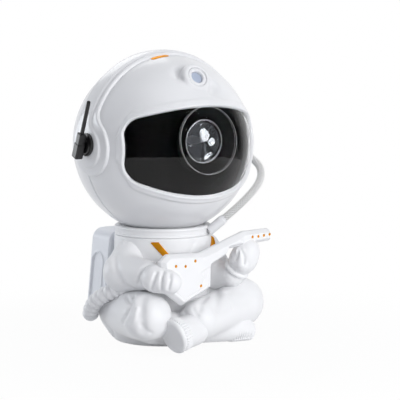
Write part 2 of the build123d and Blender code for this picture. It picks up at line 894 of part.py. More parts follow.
# ================================================================== head screws
with BuildPart() as helmet_screws:
    with BuildSketch(facing(-chassis_depth - head_boss_floor)):
        with PolarLocations(head_screw_circle_r, 4, start_angle=45):
            Circle(head_screw_head_r)
    extrude(amount=-head_screw_head)
    with BuildSketch(facing(-chassis_depth - head_boss_floor)):
        with PolarLocations(head_screw_circle_r, 4, start_angle=45):
            Circle(head_screw_r)
    extrude(amount=chassis_depth + head_boss_floor + head_screw_bite)
    with BuildSketch(facing(-chassis_depth - head_boss_floor - head_screw_head)):
        with PolarLocations(head_screw_circle_r, 4, start_angle=45):
            Rectangle(cross_length, cross_width)
            Rectangle(cross_width, cross_length)
    extrude(amount=head_screw_head / 2, mode=Mode.SUBTRACT)

# ================================================================== rear electronics
with BuildPart() as main_board:
    with BuildSketch(facing(-board_y, head_z + board_rise)):
        Rectangle(board_width, board_height)
    extrude(amount=-board_depth)

with BuildPart() as board_components:
    with BuildSketch(facing(-board_y - board_depth, head_z + board_rise)):
        for middle, width, height in chips:
            with Locations(middle):
                Rectangle(width, height)
    extrude(amount=-chip_depth)
    with BuildSketch(facing(-board_y - board_depth, head_z + board_rise)):
        with Locations(*capacitor_places):
            Circle(capacitor_r)
    extrude(amount=-capacitor_depth)

control_z = head_z - panel_drop
button_names = ("star_button", "power_button", "nebula_button")
button_xs = (-button_pitch, 0.0, button_pitch)
with BuildPart() as control_panel:
    with BuildSketch(facing(-panel_y, control_z)):
        Circle(panel_r)
        with Locations(*[(x, 0) for x in button_xs]):
            Circle(button_r + gap, mode=Mode.SUBTRACT)
        with Locations((0, -port_drop)):
            RectangleRounded(port_width + 2 * gap, port_height + 2 * gap, port_height / 2, mode=Mode.SUBTRACT)
        with Locations((0, ir_rise)):
            Circle(ir_r + fit, mode=Mode.SUBTRACT)
    extrude(amount=-panel_depth)
    chamfer(control_panel.faces().sort_by(Axis.Y)[-1].outer_wire().edges(), panel_edge)
    with BuildSketch(facing(-panel_y, control_z)):
        with GridLocations(2 * control_post_spread, 2 * control_post_spread, 2, 2):
            Circle(control_post_r)
    extrude(amount=panel_y - control_board_y - board_depth)


def push_button(x):
    """A round button with a flange behind the panel."""
    with BuildPart() as button:
        with BuildSketch(facing(-panel_y - panel_depth - button_proud, control_z, x)):
            Circle(button_r)
        extrude(amount=button_proud + panel_depth + gap + button_flange_depth)
        fillet(button.faces().sort_by(Axis.Y)[-1].edges(), button_edge)
        with BuildSketch(facing(-panel_y + gap, control_z, x)):
            Circle(button_r + button_flange)
        extrude(amount=button_flange_depth)
        with BuildSketch(facing(-panel_y + gap + button_flange_depth, control_z, x)):
            Circle(button_foot_r)
        extrude(amount=button_foot)
    return button


buttons = {name: push_button(x) for name, x in zip(button_names, button_xs)}
switch_top = panel_y - gap - button_flange_depth - button_foot - button_travel - gap / 2

with BuildPart() as control_board:
    with BuildSketch(facing(-control_board_y, control_z)):
        Circle(control_board_r)
    extrude(amount=-board_depth)

with BuildPart() as tact_switches:
    with BuildSketch(facing(-control_board_y - board_depth, control_z)):
        with Locations(*[(x, 0) for x in button_xs]):
            Rectangle(switch_size, switch_size)
    extrude(amount=-(switch_top - control_board_y - board_depth))

with BuildPart() as usb_socket:
    with BuildSketch(facing(-control_board_y - board_depth, control_z - port_drop)):
        RectangleRounded(port_width, port_height, port_height / 2 - fit)
    extrude(amount=-(panel_y + panel_depth - gap - control_board_y - board_depth))
    with BuildSketch(facing(-panel_y - panel_depth + gap, control_z - port_drop)):
        RectangleRounded(
            port_width - 2 * port_wall, port_height - 2 * port_wall, port_height / 2 - fit - port_wall
        )
    extrude(amount=panel_depth, mode=Mode.SUBTRACT)
    with BuildSketch(facing(-panel_y + gap, control_z - port_drop)):
        Rectangle(port_tongue_width, port_tongue_depth)
    extrude(amount=-panel_depth + gap)

with BuildPart() as ir_receiver:
    with BuildSketch(facing(-control_board_y - board_depth, control_z + ir_rise)):
        Circle(ir_r)
    extrude(amount=-(panel_y + panel_depth - control_board_y - board_depth))
    with Locations((0, panel_y + panel_depth, control_z + ir_rise)):
        Sphere(ir_r)

# ================================================================== magnet and neck
tray_r = magnet_r + tray_wall
magnet_z = head_z - helmet_inner_r + fit + tray_floor
with BuildPart() as magnet_tray:
    with BuildSketch(Plane.XY.offset(head_z - helmet_r)):
        Circle(tray_r)
    extrude(amount=magnet_z + magnet_depth - head_z + helmet_r)
    with Locations(head_centre):
        Sphere(helmet_inner_r - fit, mode=Mode.INTERSECT)
    with BuildSketch(Plane.XY.offset(magnet_z)):
        Circle(magnet_r + fit)
    extrude(amount=far, mode=Mode.SUBTRACT)

with BuildPart() as head_magnet:
    with BuildSketch(Plane.XY.offset(magnet_z)):
        Circle(magnet_r)
    extrude(amount=magnet_depth)

cup_r = collar_bore_r - gap
stub_bottom_z = deck_z + collar_floor - pivot_hub_depth - turn_gap
with BuildPart() as swivel_cup:
    with BuildSketch(Plane.XY.offset(cup_bottom_z)):
        Circle(cup_r)
    extrude(amount=collar_top_z - gap - cup_bottom_z)
    with Locations(head_centre):
        Sphere(helmet_r + seat_gap, mode=Mode.SUBTRACT)
    with BuildSketch(Plane.XY.offset(cup_bottom_z)):
        Circle(keeper_outer_r + fit)
        Circle(keeper_inner_r - fit, mode=Mode.SUBTRACT)
    extrude(amount=keeper_recess + keeper_depth, mode=Mode.SUBTRACT)
    with BuildSketch(Plane.XY.offset(stub_bottom_z)):
        Circle(pivot_r)
    extrude(amount=cup_bottom_z - stub_bottom_z)
    with BuildSketch(Plane.XY.offset(stub_bottom_z)):
        Circle(neck_screw_r + fit / 2)
    extrude(amount=neck_screw_length + gap, mode=Mode.SUBTRACT)

with BuildPart() as keeper_ring:
    with BuildSketch(Plane.XY.offset(cup_bottom_z + keeper_recess)):
        Circle(keeper_outer_r)
        Circle(keeper_inner_r, mode=Mode.SUBTRACT)
    extrude(amount=keeper_depth)

with BuildPart() as swivel_washer:
    with BuildSketch(Plane.XY.offset(stub_bottom_z)):
        Circle(washer_r)
        Circle(neck_screw_r + fit / 2, mode=Mode.SUBTRACT)
    extrude(amount=-washer_depth)

with BuildPart() as swivel_screw:
    with BuildSketch(Plane.XY.offset(stub_bottom_z - washer_depth)):
        Circle(neck_screw_head_r)
    extrude(amount=-neck_screw_head)
    with BuildSketch(Plane.XY.offset(stub_bottom_z - washer_depth)):
        Circle(neck_screw_r)
    extrude(amount=washer_depth + neck_screw_length)

with BuildPart() as neck_collar:
    with BuildSketch(Plane.XY.offset(deck_z)):
        Circle(collar_r)
    extrude(amount=collar_height)
    with BuildSketch(Plane.XY.offset(deck_z)):
        Circle(collar_r + collar_lip)
    extrude(amount=collar_lip_height)
    fillet(neck_collar.edges().filter_by(GeomType.CIRCLE).sort_by(Axis.Z)[-1], collar_edge)
    with BuildSketch(Plane.XY.offset(deck_z + collar_floor)):
        Circle(collar_bore_r)
    extrude(amount=far, mode=Mode.SUBTRACT)
    with BuildSketch(Plane.XY.offset(deck_z)):
        Circle(pivot_r + run + pivot_hub_wall)
    extrude(amount=collar_floor - pivot_hub_depth)
    with BuildSketch(Plane.XY.offset(deck_z - far / 2)):
        Circle(pivot_r + run)
    extrude(amount=far, mode=Mode.SUBTRACT)

with BuildPart() as collar_space:
    with BuildSketch(Plane.XY.offset(deck_z)):
        Circle(collar_r + collar_lip)
    extrude(amount=collar_lip_height)
    with BuildSketch(Plane.XY.offset(deck_z)):
        Circle(collar_r)
    extrude(amount=collar_height)

# ================================================================== air hose
def head_point(point):
    """A point given from the head's centre."""
    return (point[0], point[1], point[2] + head_z)


def hose_radii(points):
    """Each bend as large as its two runs allow."""
    radii = []
    for before, corner, after in zip(points, points[1:], points[2:]):
        run_in = Vector(*corner) - Vector(*before)
        run_out = Vector(*after) - Vector(*corner)
        turn = math.radians(run_in.get_angle(run_out))
        radii.append(0.45 * min(run_in.length, run_out.length) / math.tan(turn / 2))
    return radii


hose_bends = hose_radii(hose_points)
print("hose bends", [round(radius, 1) for radius in hose_bends])
with BuildPart() as air_hose:
    with BuildLine():
        hose_path = FilletPolyline(*[head_point(point) for point in hose_points], radius=hose_bends)
    with BuildSketch(Plane(origin=hose_path @ 0, z_dir=hose_path % 0)):
        Circle(hose_d / 2)
    sweep()
print("hose length", round(hose_path.length, 1))


def hose_socket(root, first, second):
    """A short sleeve from the helmet's skin to one end of the hose, in line with its first run."""
    inward = Vector(*first) - Vector(*second)
    mouth = Plane(origin=head_point(first), z_dir=inward)
    with BuildPart() as sleeve:
        with BuildSketch(mouth):
            Circle(hose_d / 2 + socket_wall)
        extrude(amount=(Vector(*root) - Vector(*first)).length)
        with Locations(head_centre):
            Sphere(helmet_r, mode=Mode.SUBTRACT)
        add(headband.part, mode=Mode.SUBTRACT)
    return sleeve


hose_socket_upper = hose_socket(upper_socket_root, hose_points[0], hose_points[1])
hose_socket_lower = hose_socket(lower_socket_root, hose_points[-1], hose_points[-2])
with BuildPart() as hose_sockets:
    add(hose_socket_upper.part)
    add(hose_socket_lower.part)

# ================================================================== body shells
figure_skin = figure_core()
figure_cavity = figure_core(body_wall)
base_top_z = floor_gap + base_wall
ledge_top_z = base_top_z + ledge_depth
pad_top_z = floor_gap + pad_recess
base_screw_z = pad_top_z + fit

with BuildPart() as body_hollow:
    add(figure_cavity)
    split(bisect_by=Plane.XY.offset(base_top_z), keep=Keep.TOP)

with BuildPart() as body:
    add(figure_skin)
    split(bisect_by=Plane.XY.offset(floor_gap), keep=Keep.TOP)
    add(body_hollow.part, mode=Mode.SUBTRACT)
    with BuildSketch(Plane.XY.offset(base_top_z)):
        Circle(base_opening_r + body_wall)
        Circle(ledge_r, mode=Mode.SUBTRACT)
    extrude(amount=ledge_depth)
    with BuildSketch(Plane.XY.offset(ledge_top_z)):
        with PolarLocations(base_screw_circle_r + base_boss_shift, 3, start_angle=30):
            Circle(base_boss_r)
    extrude(amount=base_boss_height)
    with BuildSketch(Plane.XY):
        Circle(base_opening_r)
    extrude(amount=base_top_z, mode=Mode.SUBTRACT)
    with BuildSketch(Plane.XY):
        with PolarLocations(base_screw_circle_r, 3, start_angle=30):
            Circle(base_screw_r + fit / 2)
    extrude(amount=base_screw_z + base_screw_head + base_screw_length + gap, mode=Mode.SUBTRACT)

with BuildPart() as deck_cut:
    with BuildSketch(Plane.XY.offset(deck_z - 2 * body_wall)):
        Circle(pivot_r + run + pivot_hub_wall + fit)
    extrude(amount=far)

with BuildPart() as body_front_shell:
    add(body.part)
    add(deck_cut.part, mode=Mode.SUBTRACT)
    split(bisect_by=Plane.XZ.offset(-split_y), keep=Keep.TOP)

with BuildPart() as body_rear_shell:
    add(body.part)
    add(deck_cut.part, mode=Mode.SUBTRACT)
    split(bisect_by=Plane.XZ.offset(-split_y), keep=Keep.BOTTOM)

# ================================================================== base
with BuildPart() as base_plate:
    with BuildSketch(Plane.XY.offset(floor_gap)):
        Circle(base_opening_r - gap)
    extrude(amount=base_wall)
    with BuildSketch(Plane.XY.offset(floor_gap)):
        Circle(pad_r + fit)
    extrude(amount=pad_recess, mode=Mode.SUBTRACT)
    with BuildSketch(Plane.XY.offset(pad_top_z)):
        with PolarLocations(base_screw_circle_r, 3, start_angle=30):
            Circle(base_screw_head_r + fit)
    extrude(amount=fit + base_screw_head, mode=Mode.SUBTRACT)
    with BuildSketch(Plane.XY):
        with PolarLocations(base_screw_circle_r, 3, start_angle=30):
            Circle(base_screw_r + fit)
    extrude(amount=far, mode=Mode.SUBTRACT)

# The pad is the part's foot; it covers the screws.
with BuildPart() as base_pad:
    with BuildSketch(Plane.XY):
        Circle(pad_r)
    extrude(amount=pad_top_z)
    fillet(base_pad.faces().sort_by(Axis.Z)[0].edges(), pad_edge)

with BuildPart() as base_screws:
    with BuildSketch(Plane.XY.offset(base_screw_z)):
        with PolarLocations(base_screw_circle_r, 3, start_angle=30):
            Circle(base_screw_head_r)
    extrude(amount=base_screw_head)
    with BuildSketch(Plane.XY.offset(base_screw_z)):
        with PolarLocations(base_screw_circle_r, 3, start_angle=30):
            Circle(base_screw_r)
    extrude(amount=base_screw_head + base_screw_length)

with BuildPart() as ballast_plate:
    with BuildSketch(Plane.XY.offset(base_top_z)):
        Circle(ballast_r)
    extrude(amount=ballast_depth)
    chamfer(ballast_plate.faces().sort_by(Axis.Z)[-1].edges(), ballast_edge)

# ================================================================== guitar
yaw = math.radians(guitar_yaw)
guitar_plane = Plane(
    origin=guitar_place, x_dir=(math.cos(yaw), math.sin(yaw), 0), z_dir=(math.sin(yaw), -math.cos(yaw), 0)
)
with BuildPart() as guitar:
    with BuildSketch(guitar_plane.offset(-guitar_depth / 2)) as guitar_face:
        with BuildLine():
            Polyline(*guitar_outline, close=True)
        make_face()
        fillet(guitar_face.vertices(), guitar_corner_r)
    extrude(amount=guitar_depth)
    chamfer(end_face(guitar, guitar_plane).edges(), guitar_edge)

with BuildPart() as guitar_studs:
    with BuildSketch(guitar_plane.offset(guitar_depth / 2)):
        with Locations(*body_studs, *headstock_studs):
            Circle(stud_r)
    extrude(amount=stud_proud)

# ================================================================== arms and hands
def sleeve(shoulder, elbow, wrist):
    """An arm from the shoulder over the elbow to the wrist, trimmed where it meets the body."""
    with BuildPart() as arm:
        add(limb(shoulder, elbow))
        add(limb((elbow[0], elbow[1] - fit), wrist))
        add(figure_skin, mode=Mode.SUBTRACT)
        add(collar_space.part, mode=Mode.SUBTRACT)
        add(guitar.part, mode=Mode.SUBTRACT)
    return arm


def mitten(palm, knuckles, arm):
    """A hand, trimmed where it meets the sleeve and the guitar."""
    with BuildPart() as hand:
        add(limb(palm, knuckles))
        add(arm.part, mode=Mode.SUBTRACT)
        add(figure_skin, mode=Mode.SUBTRACT)
        add(guitar.part, mode=Mode.SUBTRACT)
        add(guitar_studs.part, mode=Mode.SUBTRACT)
    return hand


right_arm = sleeve(right_shoulder, right_elbow, right_wrist)
left_arm = sleeve(left_shoulder, left_elbow, left_wrist)
with BuildPart() as gloves:
    add(mitten(right_palm, right_knuckles, right_arm).part)
    add(mitten(left_palm, left_knuckles, left_arm).part)

# ================================================================== boots
def boot(heel, toe):
    """A boot, flat where it meets the floor's height, trimmed where it meets the leg."""
    with BuildPart() as shoe:
        add(limb(heel, toe))
        split(bisect_by=Plane.XY.offset(floor_gap), keep=Keep.TOP)
        add(figure_skin, mode=Mode.SUBTRACT)
    return shoe


right_boot = boot(right_heel, right_toe)
left_boot = boot(left_heel, left_toe)
sole_plane = Plane(origin=(left_sole_x, left_toe[0][1], left_toe[0][2]), z_dir=left_sole_facing)
with left_boot:
    split(bisect_by=sole_plane, keep=Keep.BOTTOM)
with BuildPart() as boots:
    add(right_boot.part)
    add(left_boot.part)

# ================================================================== chest stripes
# Two bars slant down towards the middle of the chest.
with BuildPart() as chest_stripes:
    for side in (-1, 1):
        turn = math.radians(stripe_angle)
        look = Plane(
            origin=(0, 0, (chest_z + deck_z) / 2 - stripe_drop),
            x_dir=(math.cos(turn), side * math.sin(turn), 0),
            z_dir=(side * math.sin(turn), -math.cos(turn), 0),
        )
        with BuildSketch(look):
            with Locations((-side * stripe_shift, 0)):
                Rectangle(stripe_width, stripe_length, rotation=-side * stripe_slant)
        extrude(amount=far)
    add(collar_space.part, mode=Mode.SUBTRACT)

with chest_stripes:
    add(torso(-stripe_proud), mode=Mode.INTERSECT)
    add(figure_skin, mode=Mode.SUBTRACT)

# ================================================================== backpack
def pack_outline(inset=0.0):
    """The pack seen from behind."""
    foot, top = pack_foot_half - inset, pack_top_half - inset
    low, high = pack_foot_z + inset, pack_top_z - inset
    with BuildSketch(Plane.XZ.offset(-pack_front_y + inset)) as outline:
        with BuildLine():
            Polyline((-foot, low), (foot, low), (top, high), (-top, high), close=True)
        make_face()
        fillet(outline.vertices(), pack_corner_r - inset)
    return outline.sketch


with BuildPart() as backpack:
    extrude(to_extrude=pack_outline(), amount=pack_front_y - pack_rear_y)
    fillet(backpack.faces().sort_by(Axis.Y)[-1].edges(), pack_edge_r)
    extrude(to_extrude=pack_outline(pack_wall), amount=pack_front_y - pack_rear_y, mode=Mode.SUBTRACT)
    add(figure_skin, mode=Mode.SUBTRACT)
    add(right_arm.part, mode=Mode.SUBTRACT)
    add(left_arm.part, mode=Mode.SUBTRACT)
    add(collar_space.part, mode=Mode.SUBTRACT)

# ================================================================== corrugated suit hose
with BuildPart() as corrugated_tube:
    with BuildLine():
        suit_path = ThreePointArc(suit_hose_ends[0], suit_hose_crest, suit_hose_ends[1])
    with BuildSketch(Plane(origin=suit_path @ 0, z_dir=suit_path % 0)):
        Circle(suit_hose_core_r)
    sweep()
    rib_pitch = suit_path.length / suit_hose_ribs
    for rib in range(suit_hose_ribs):
        share = (rib + 0.5) / suit_hose_ribs
        with BuildSketch(Plane(origin=suit_path @ share, z_dir=suit_path % share)):
            Circle(suit_hose_r)
        extrude(amount=rib_pitch * suit_hose_rib_share / 2, both=True)
    add(figure_skin, mode=Mode.SUBTRACT)
    add(right_arm.part, mode=Mode.SUBTRACT)
    add(backpack.part, mode=Mode.SUBTRACT)

# The stretch between the pack and the elbow is what is left of the tube.
with BuildPart() as suit_hose:
    add(corrugated_tube.part.solids().sort_by(SortBy.VOLUME)[-1])

# ================================================================== write the pieces
pieces = {
    "helmet_front_shell": helmet_front_shell,
    "helmet_rear_shell": helmet_rear_shell,
    "visor": visor,
    "headband": headband,
    "crest_inlay": crest_inlay,
    "antenna_base": antenna_base,
    "antenna_mast": antenna_mast,
    "laser_bezel": laser_bezel,
    "laser_window": laser_window,
    "laser_module": laser_module,
    "laser_bracket": laser_bracket,
    "grating_wheel": grating_wheel,
    "grating_roller": grating_roller,
    "grating_motor": grating_motor,
    "chassis": chassis,
    "led_board": led_board,
    "led_emitters": led_emitters,
    "heat_sink": heat_sink,
    "nebula_wheel": nebula_wheel,
    "nebula_disc": nebula_disc,
    "lens_barrel": lens_barrel,
    "dome_lens": dome_lens,
    "lens_hood": lens_hood,
    "nebula_motor": nebula_motor,
    "motor_pinion": motor_pinion,
    "helmet_screws": helmet_screws,
    "main_board": main_board,
    "board_components": board_components,
    "control_panel": control_panel,
    "control_board": control_board,
    "tact_switches": tact_switches,
    "usb_socket": usb_socket,
    "ir_receiver": ir_receiver,
    "magnet_tray": magnet_tray,
    "head_magnet": head_magnet,
    "hose_sockets": hose_sockets,
    "air_hose": air_hose,
    "swivel_cup": swivel_cup,
    "keeper_ring": keeper_ring,
    "swivel_washer": swivel_washer,
    "swivel_screw": swivel_screw,
    "neck_collar": neck_collar,
    "body_front_shell": body_front_shell,
    "body_rear_shell": body_rear_shell,
    "base_plate": base_plate,
    "base_pad": base_pad,
    "base_screws": base_screws,
    "ballast_plate": ballast_plate,
    "guitar": guitar,
    "guitar_studs": guitar_studs,
    "right_arm": right_arm,
    "left_arm": left_arm,
    "gloves": gloves,
    "boots": boots,
    "chest_stripes": chest_stripes,
    "backpack": backpack,
    "suit_hose": suit_hose,
}
pieces.update(buttons)
for name, piece in pieces.items():
    piece.part.label = name
    export_step(piece.part, f"parts/{name}.step")
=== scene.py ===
import json
import math

import bpy
import numpy as np
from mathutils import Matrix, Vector


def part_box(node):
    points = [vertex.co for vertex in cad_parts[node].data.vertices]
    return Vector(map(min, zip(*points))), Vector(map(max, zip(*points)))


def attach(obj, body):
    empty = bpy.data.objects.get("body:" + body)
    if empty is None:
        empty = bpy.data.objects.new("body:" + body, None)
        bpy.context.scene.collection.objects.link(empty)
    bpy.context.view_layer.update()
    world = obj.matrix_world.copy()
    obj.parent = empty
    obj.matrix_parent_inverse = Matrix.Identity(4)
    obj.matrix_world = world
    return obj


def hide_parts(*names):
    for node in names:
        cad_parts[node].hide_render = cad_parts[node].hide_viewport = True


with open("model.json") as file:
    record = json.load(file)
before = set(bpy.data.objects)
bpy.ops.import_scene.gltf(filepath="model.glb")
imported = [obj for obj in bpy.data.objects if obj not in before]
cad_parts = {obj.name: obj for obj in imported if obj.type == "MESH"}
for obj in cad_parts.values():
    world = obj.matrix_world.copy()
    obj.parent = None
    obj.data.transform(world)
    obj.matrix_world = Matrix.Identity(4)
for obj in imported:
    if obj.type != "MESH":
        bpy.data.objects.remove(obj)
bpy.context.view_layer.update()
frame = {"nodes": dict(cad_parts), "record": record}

# Looks of the star projector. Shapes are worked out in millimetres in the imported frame,
# with the head's shapes given from the helmet's centre, and written in metres.
MM = 0.001
HELMET_R = 68.0
HELMET_WALL = 2.4
HEAD_Z = 150.0
HEAD = np.array((0.0, 0.0, HEAD_Z))


def add_object(name, data):
    made = bpy.data.objects.new(name, data)
    bpy.context.scene.collection.objects.link(made)
    return made


def compass(azimuth, elevation):
    """The way out at an azimuth from the front and an elevation, both in degrees."""
    azimuth, elevation = math.radians(azimuth), math.radians(elevation)
    level = math.cos(elevation)
    return Vector((math.sin(azimuth) * level, -math.cos(azimuth) * level, math.sin(elevation)))


def aim(thing, way, front):
    """Turns a thing until its front axis points along way."""
    thing.rotation_mode = "QUATERNION"
    thing.rotation_quaternion = way.to_track_quat(front, "Y")


# ================================================================== camera
PHOTO_SIZE = 400.0
PHOTO_FOCAL = 1585.0  # focal length in photo pixels
SENSOR = 36.0
CAMERA_AZIMUTH = -33.0
CAMERA_DISTANCE = 1.2
CAMERA_HEIGHT = 0.240
HEAD_PIXEL = (162.7, 143.4)  # where the helmet's centre lies in the photo


def make_camera():
    data = bpy.data.cameras.new("camera")
    data.sensor_width = SENSOR
    data.lens = PHOTO_FOCAL / PHOTO_SIZE * SENSOR
    camera = add_object("camera", data)
    turn = math.radians(CAMERA_AZIMUTH)
    level = (math.sin(turn) * CAMERA_DISTANCE, -math.cos(turn) * CAMERA_DISTANCE)
    camera.location = (*level, CAMERA_HEIGHT)
    to_head = (Vector(HEAD * MM) - Vector((*level, CAMERA_HEIGHT))).normalized()
    right = to_head.cross(Vector((0, 0, 1))).normalized()
    up = right.cross(to_head)
    aside, below = (PHOTO_SIZE / 2 - pixel for pixel in HEAD_PIXEL)
    aim(camera, to_head * PHOTO_FOCAL + right * aside - up * below, "-Z")
    bpy.context.scene.camera = camera


make_camera()


# ================================================================== materials
def set_inputs(node, **values):
    for name, value in values.items():
        node.inputs[name.replace("_", " ")].default_value = value


def new_node(tree, kind, **values):
    node = tree.nodes.new("ShaderNode" + kind)
    set_inputs(node, **values)
    return node


def new_material(name):
    material = bpy.data.materials.new(name)
    material.use_nodes = True
    return material, material.node_tree, material.node_tree.nodes["Principled BSDF"]


def object_noise(tree, scale, detail):
    """Noise fixed to the piece, its scale given per metre."""
    place = new_node(tree, "TexCoord")
    noise = new_node(tree, "TexNoise", Scale=scale, Detail=detail, Roughness=0.5)
    tree.links.new(place.outputs["Object"], noise.inputs["Vector"])
    return noise.outputs["Fac"]


def uneven(name, colour, shade, drift, gloss, grain, **values):
    """A material whose colour drifts, with uneven gloss and a fine grain.

    drift is (scale, detail, first stop), gloss (roughness, scale, detail, least and most of it)
    and grain (scale, detail, strength, distance). The rest goes onto the shader as it is.
    """
    material, tree, shader = new_material(name)
    set_inputs(shader, **values)
    ramp = new_node(tree, "ValToRGB")
    dark = tuple(value * shade for value in colour)
    stops = ((drift[2], dark), (1 - drift[2], colour))
    for element, (position, tone) in zip(ramp.color_ramp.elements, stops):
        element.position = position
        element.color = (*tone, 1)
    tree.links.new(object_noise(tree, *drift[:2]), ramp.inputs["Fac"])
    tree.links.new(ramp.outputs["Color"], shader.inputs["Base Color"])
    roughness, scale, detail, least, most = gloss
    spread = new_node(tree, "MapRange", To_Min=roughness * least, To_Max=roughness * most)
    tree.links.new(object_noise(tree, scale, detail), spread.inputs["Value"])
    tree.links.new(spread.outputs["Result"], shader.inputs["Roughness"])
    bump = new_node(tree, "Bump", Strength=grain[2], Distance=grain[3])
    tree.links.new(object_noise(tree, *grain[:2]), bump.inputs["Height"])
    tree.links.new(bump.outputs["Normal"], shader.inputs["Normal"])
    return material


def plastic(name, colour, shade, roughness, coat=0.0, grain=900.0, grain_depth=0.00004):
    """Moulded plastic: a broad, faint drift and a spark-eroded grain."""
    return uneven(
        name, colour, shade, (14.0, 3.0, 0.3), (roughness, 90.0, 3.0, 0.85, 1.15),
        (grain, 2.0, 0.35, grain_depth), Coat_Weight=coat, Coat_Roughness=0.12, IOR=1.49,
    )


def clear_plastic(name, tint, roughness, ior, coat=0.0, coat_ior=1.33):
    """Tinted clear plastic with the faint waviness of a moulding."""
    return uneven(
        name, tint, 0.93, (20.0, 2.0, 0.35), (roughness, 60.0, 2.0, 0.7, 1.3),
        (30.0, 1.0, 0.05, 0.0001), Transmission_Weight=1.0, IOR=ior, Coat_Weight=coat,
        Coat_Roughness=roughness, Coat_IOR=coat_ior,
    )


def metal(name, colour, roughness):
    """Plated or painted metal with fine scratches."""
    return uneven(
        name, colour, 0.8, (150.0, 4.0, 0.3), (roughness, 600.0, 4.0, 0.7, 1.4),
        (600.0, 2.0, 0.2, 0.00003), Metallic=1.0,
    )


FINISH = {
    # The helmet's white is greyer than the suit's: the difference is painted shade for the lesser light on
    # the helmet.
    "helmet_white": plastic("helmet_white", (0.75, 0.755, 0.772), 0.985, 0.30, coat=0.35),
    "suit_white": plastic("suit_white", (0.82, 0.823, 0.835), 0.985, 0.42, grain=700.0),
    "visor_black": clear_plastic("visor_tint", (0.40, 0.41, 0.43), 0.02, 1.03, coat=1.0),
    "antenna_black": plastic("antenna_black", (0.006, 0.006, 0.007), 0.8, 0.32),
    "gold_trim": metal("gold_paint", (0.98, 0.42, 0.02), 0.5),
    "window_blue": plastic("window_blue", (0.44, 0.50, 0.62), 0.9, 0.12, coat=1.0),
    "lens_clear": clear_plastic("lens_clear", (0.9, 0.92, 0.95), 0.02, 1.5, coat=1.0, coat_ior=2.8),
    "film_clear": clear_plastic("film_clear", (0.75, 0.82, 0.9), 0.15, 1.4),
    "inner_black": plastic("inner_black", (0.008, 0.008, 0.009), 0.8, 0.5),
    "gear_white": plastic("gear_white", (0.72, 0.72, 0.68), 0.95, 0.4),
    "heat_sink_metal": metal("extruded_aluminium", (0.75, 0.76, 0.78), 0.35),
    "motor_steel": metal("plated_steel", (0.62, 0.62, 0.64), 0.3),
    "pinion_brass": metal("cut_brass", (0.75, 0.55, 0.2), 0.3),
    "board_green": plastic("board_green", (0.015, 0.12, 0.055), 0.7, 0.3),
    "chip_black": plastic("chip_black", (0.02, 0.02, 0.022), 0.8, 0.5),
    "led_yellow": plastic("led_yellow", (0.85, 0.72, 0.25), 0.9, 0.25),
    "pad_rubber": plastic("pad_rubber", (0.05, 0.05, 0.053), 0.8, 0.75, 0.0, 400.0, 0.0001),
    "hose_braid": plastic("hose_fibre", (0.86, 0.86, 0.85), 0.9, 0.55, grain=3000.0),
    "button_grey": plastic("button_grey", (0.50, 0.51, 0.54), 0.95, 0.45),
    "magnet_nickel": metal("nickel_plate", (0.75, 0.74, 0.72), 0.12),
}
FINISH["screw_steel"] = FINISH["motor_steel"]
PACK_WHITE = plastic("pack_white", (0.80, 0.82, 0.86), 0.98, 0.45, grain=700.0)
FLOCK_BLACK = plastic("flock_black", (0.002, 0.002, 0.002), 0.7, 0.95, grain=2500.0)
set_inputs(FLOCK_BLACK.node_tree.nodes["Principled BSDF"], Specular_IOR_Level=0.02)
HOSE_CORE = plastic("hose_core", (0.006, 0.006, 0.007), 0.7, 0.8)
VISOR_BACK = clear_plastic("visor_back", (0.40, 0.41, 0.43), 0.02, 1.03)
# Light grey beads with a clear coat: the grey is a painted highlight along the moulded edges of the window
# and the dome, and the coat catches real reflections.
RING_PAINTED_SHEEN = plastic("ring_painted_sheen", (0.40, 0.40, 0.41), 0.95, 0.2, coat=1.0)

for part in frame["record"]["subparts"]:
    materials = frame["nodes"][part["node"]].data.materials
    materials.clear()
    materials.append(FINISH[part["material_slot"]])


# ================================================================== meshes
def length(p):
    return np.sqrt((p * p).sum(-1))


def unit(way):
    way = np.asarray(way, float)
    return way / length(way)[..., None]


def new_piece(name, shape, body, slot, replaces, material=None):
    """A piece from (vertices in millimetres, faces), riding on a body."""
    vertices, faces = shape
    mesh = bpy.data.meshes.new(name)
    mesh.from_pydata([tuple(v) for v in np.asarray(vertices) * MM], [], [tuple(f) for f in faces])
    mesh.validate()
    mesh.polygons.foreach_set("use_smooth", [True] * len(mesh.polygons))
    mesh.materials.append(material or FINISH[slot])
    piece = add_object(name, mesh)
    if replaces:
        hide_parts(*replaces)
    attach(piece, body)
    return piece


def on_figure(name, shape, *nodes, slot="suit_white", material=None):
    return new_piece(name, shape, "figure", slot, nodes, material)


def on_head(name, shape, *nodes, slot="helmet_white", material=None):
    return new_piece(name, shape, "head", slot, nodes, material)


def join_parts(parts):
    """Several (vertices, faces) as one."""
    vertices, faces, start = [], [], 0
    for part_vertices, part_faces in parts:
        vertices.append(part_vertices)
        faces.extend([tuple(index + start for index in face) for face in part_faces])
        start += len(part_vertices)
    return np.concatenate(vertices), faces


def frame_about(direction):
    """Two unit vectors across a direction."""
    direction = unit(direction)
    helper = (0.0, 0.0, 1.0) if abs(direction[2]) < 0.9 else (1.0, 0.0, 0.0)
    across = unit(np.cross(helper, direction))
    return across, np.cross(direction, across)


def circle(across, aside, count):
    turns = np.arange(count)[:, None] * 2 * math.pi / count
    return np.cos(turns) * across + np.sin(turns) * aside


def grid_faces(rows, columns, closed=False, flip=False):
    """Quads between rings of vertices; closed joins the last ring to the first."""
    faces = []
    for row in range(rows if closed else rows - 1):
        low, high = row * columns, (row + 1) % rows * columns
        for column in range(columns):
            after = (column + 1) % columns
            quad = (low + column, high + column, high + after, low + after)
            faces.append((quad[0], *quad[:0:-1]) if flip else quad)
    return faces


def capped_faces(rows, columns, flip=True):
    """Quads between rings of vertices, with both ends closed."""
    ends = [tuple(range(columns)), tuple(range((rows - 1) * columns, rows * columns))]
    ends[0 if flip else 1] = ends[0 if flip else 1][::-1]
    return grid_faces(rows, columns, flip=flip) + ends


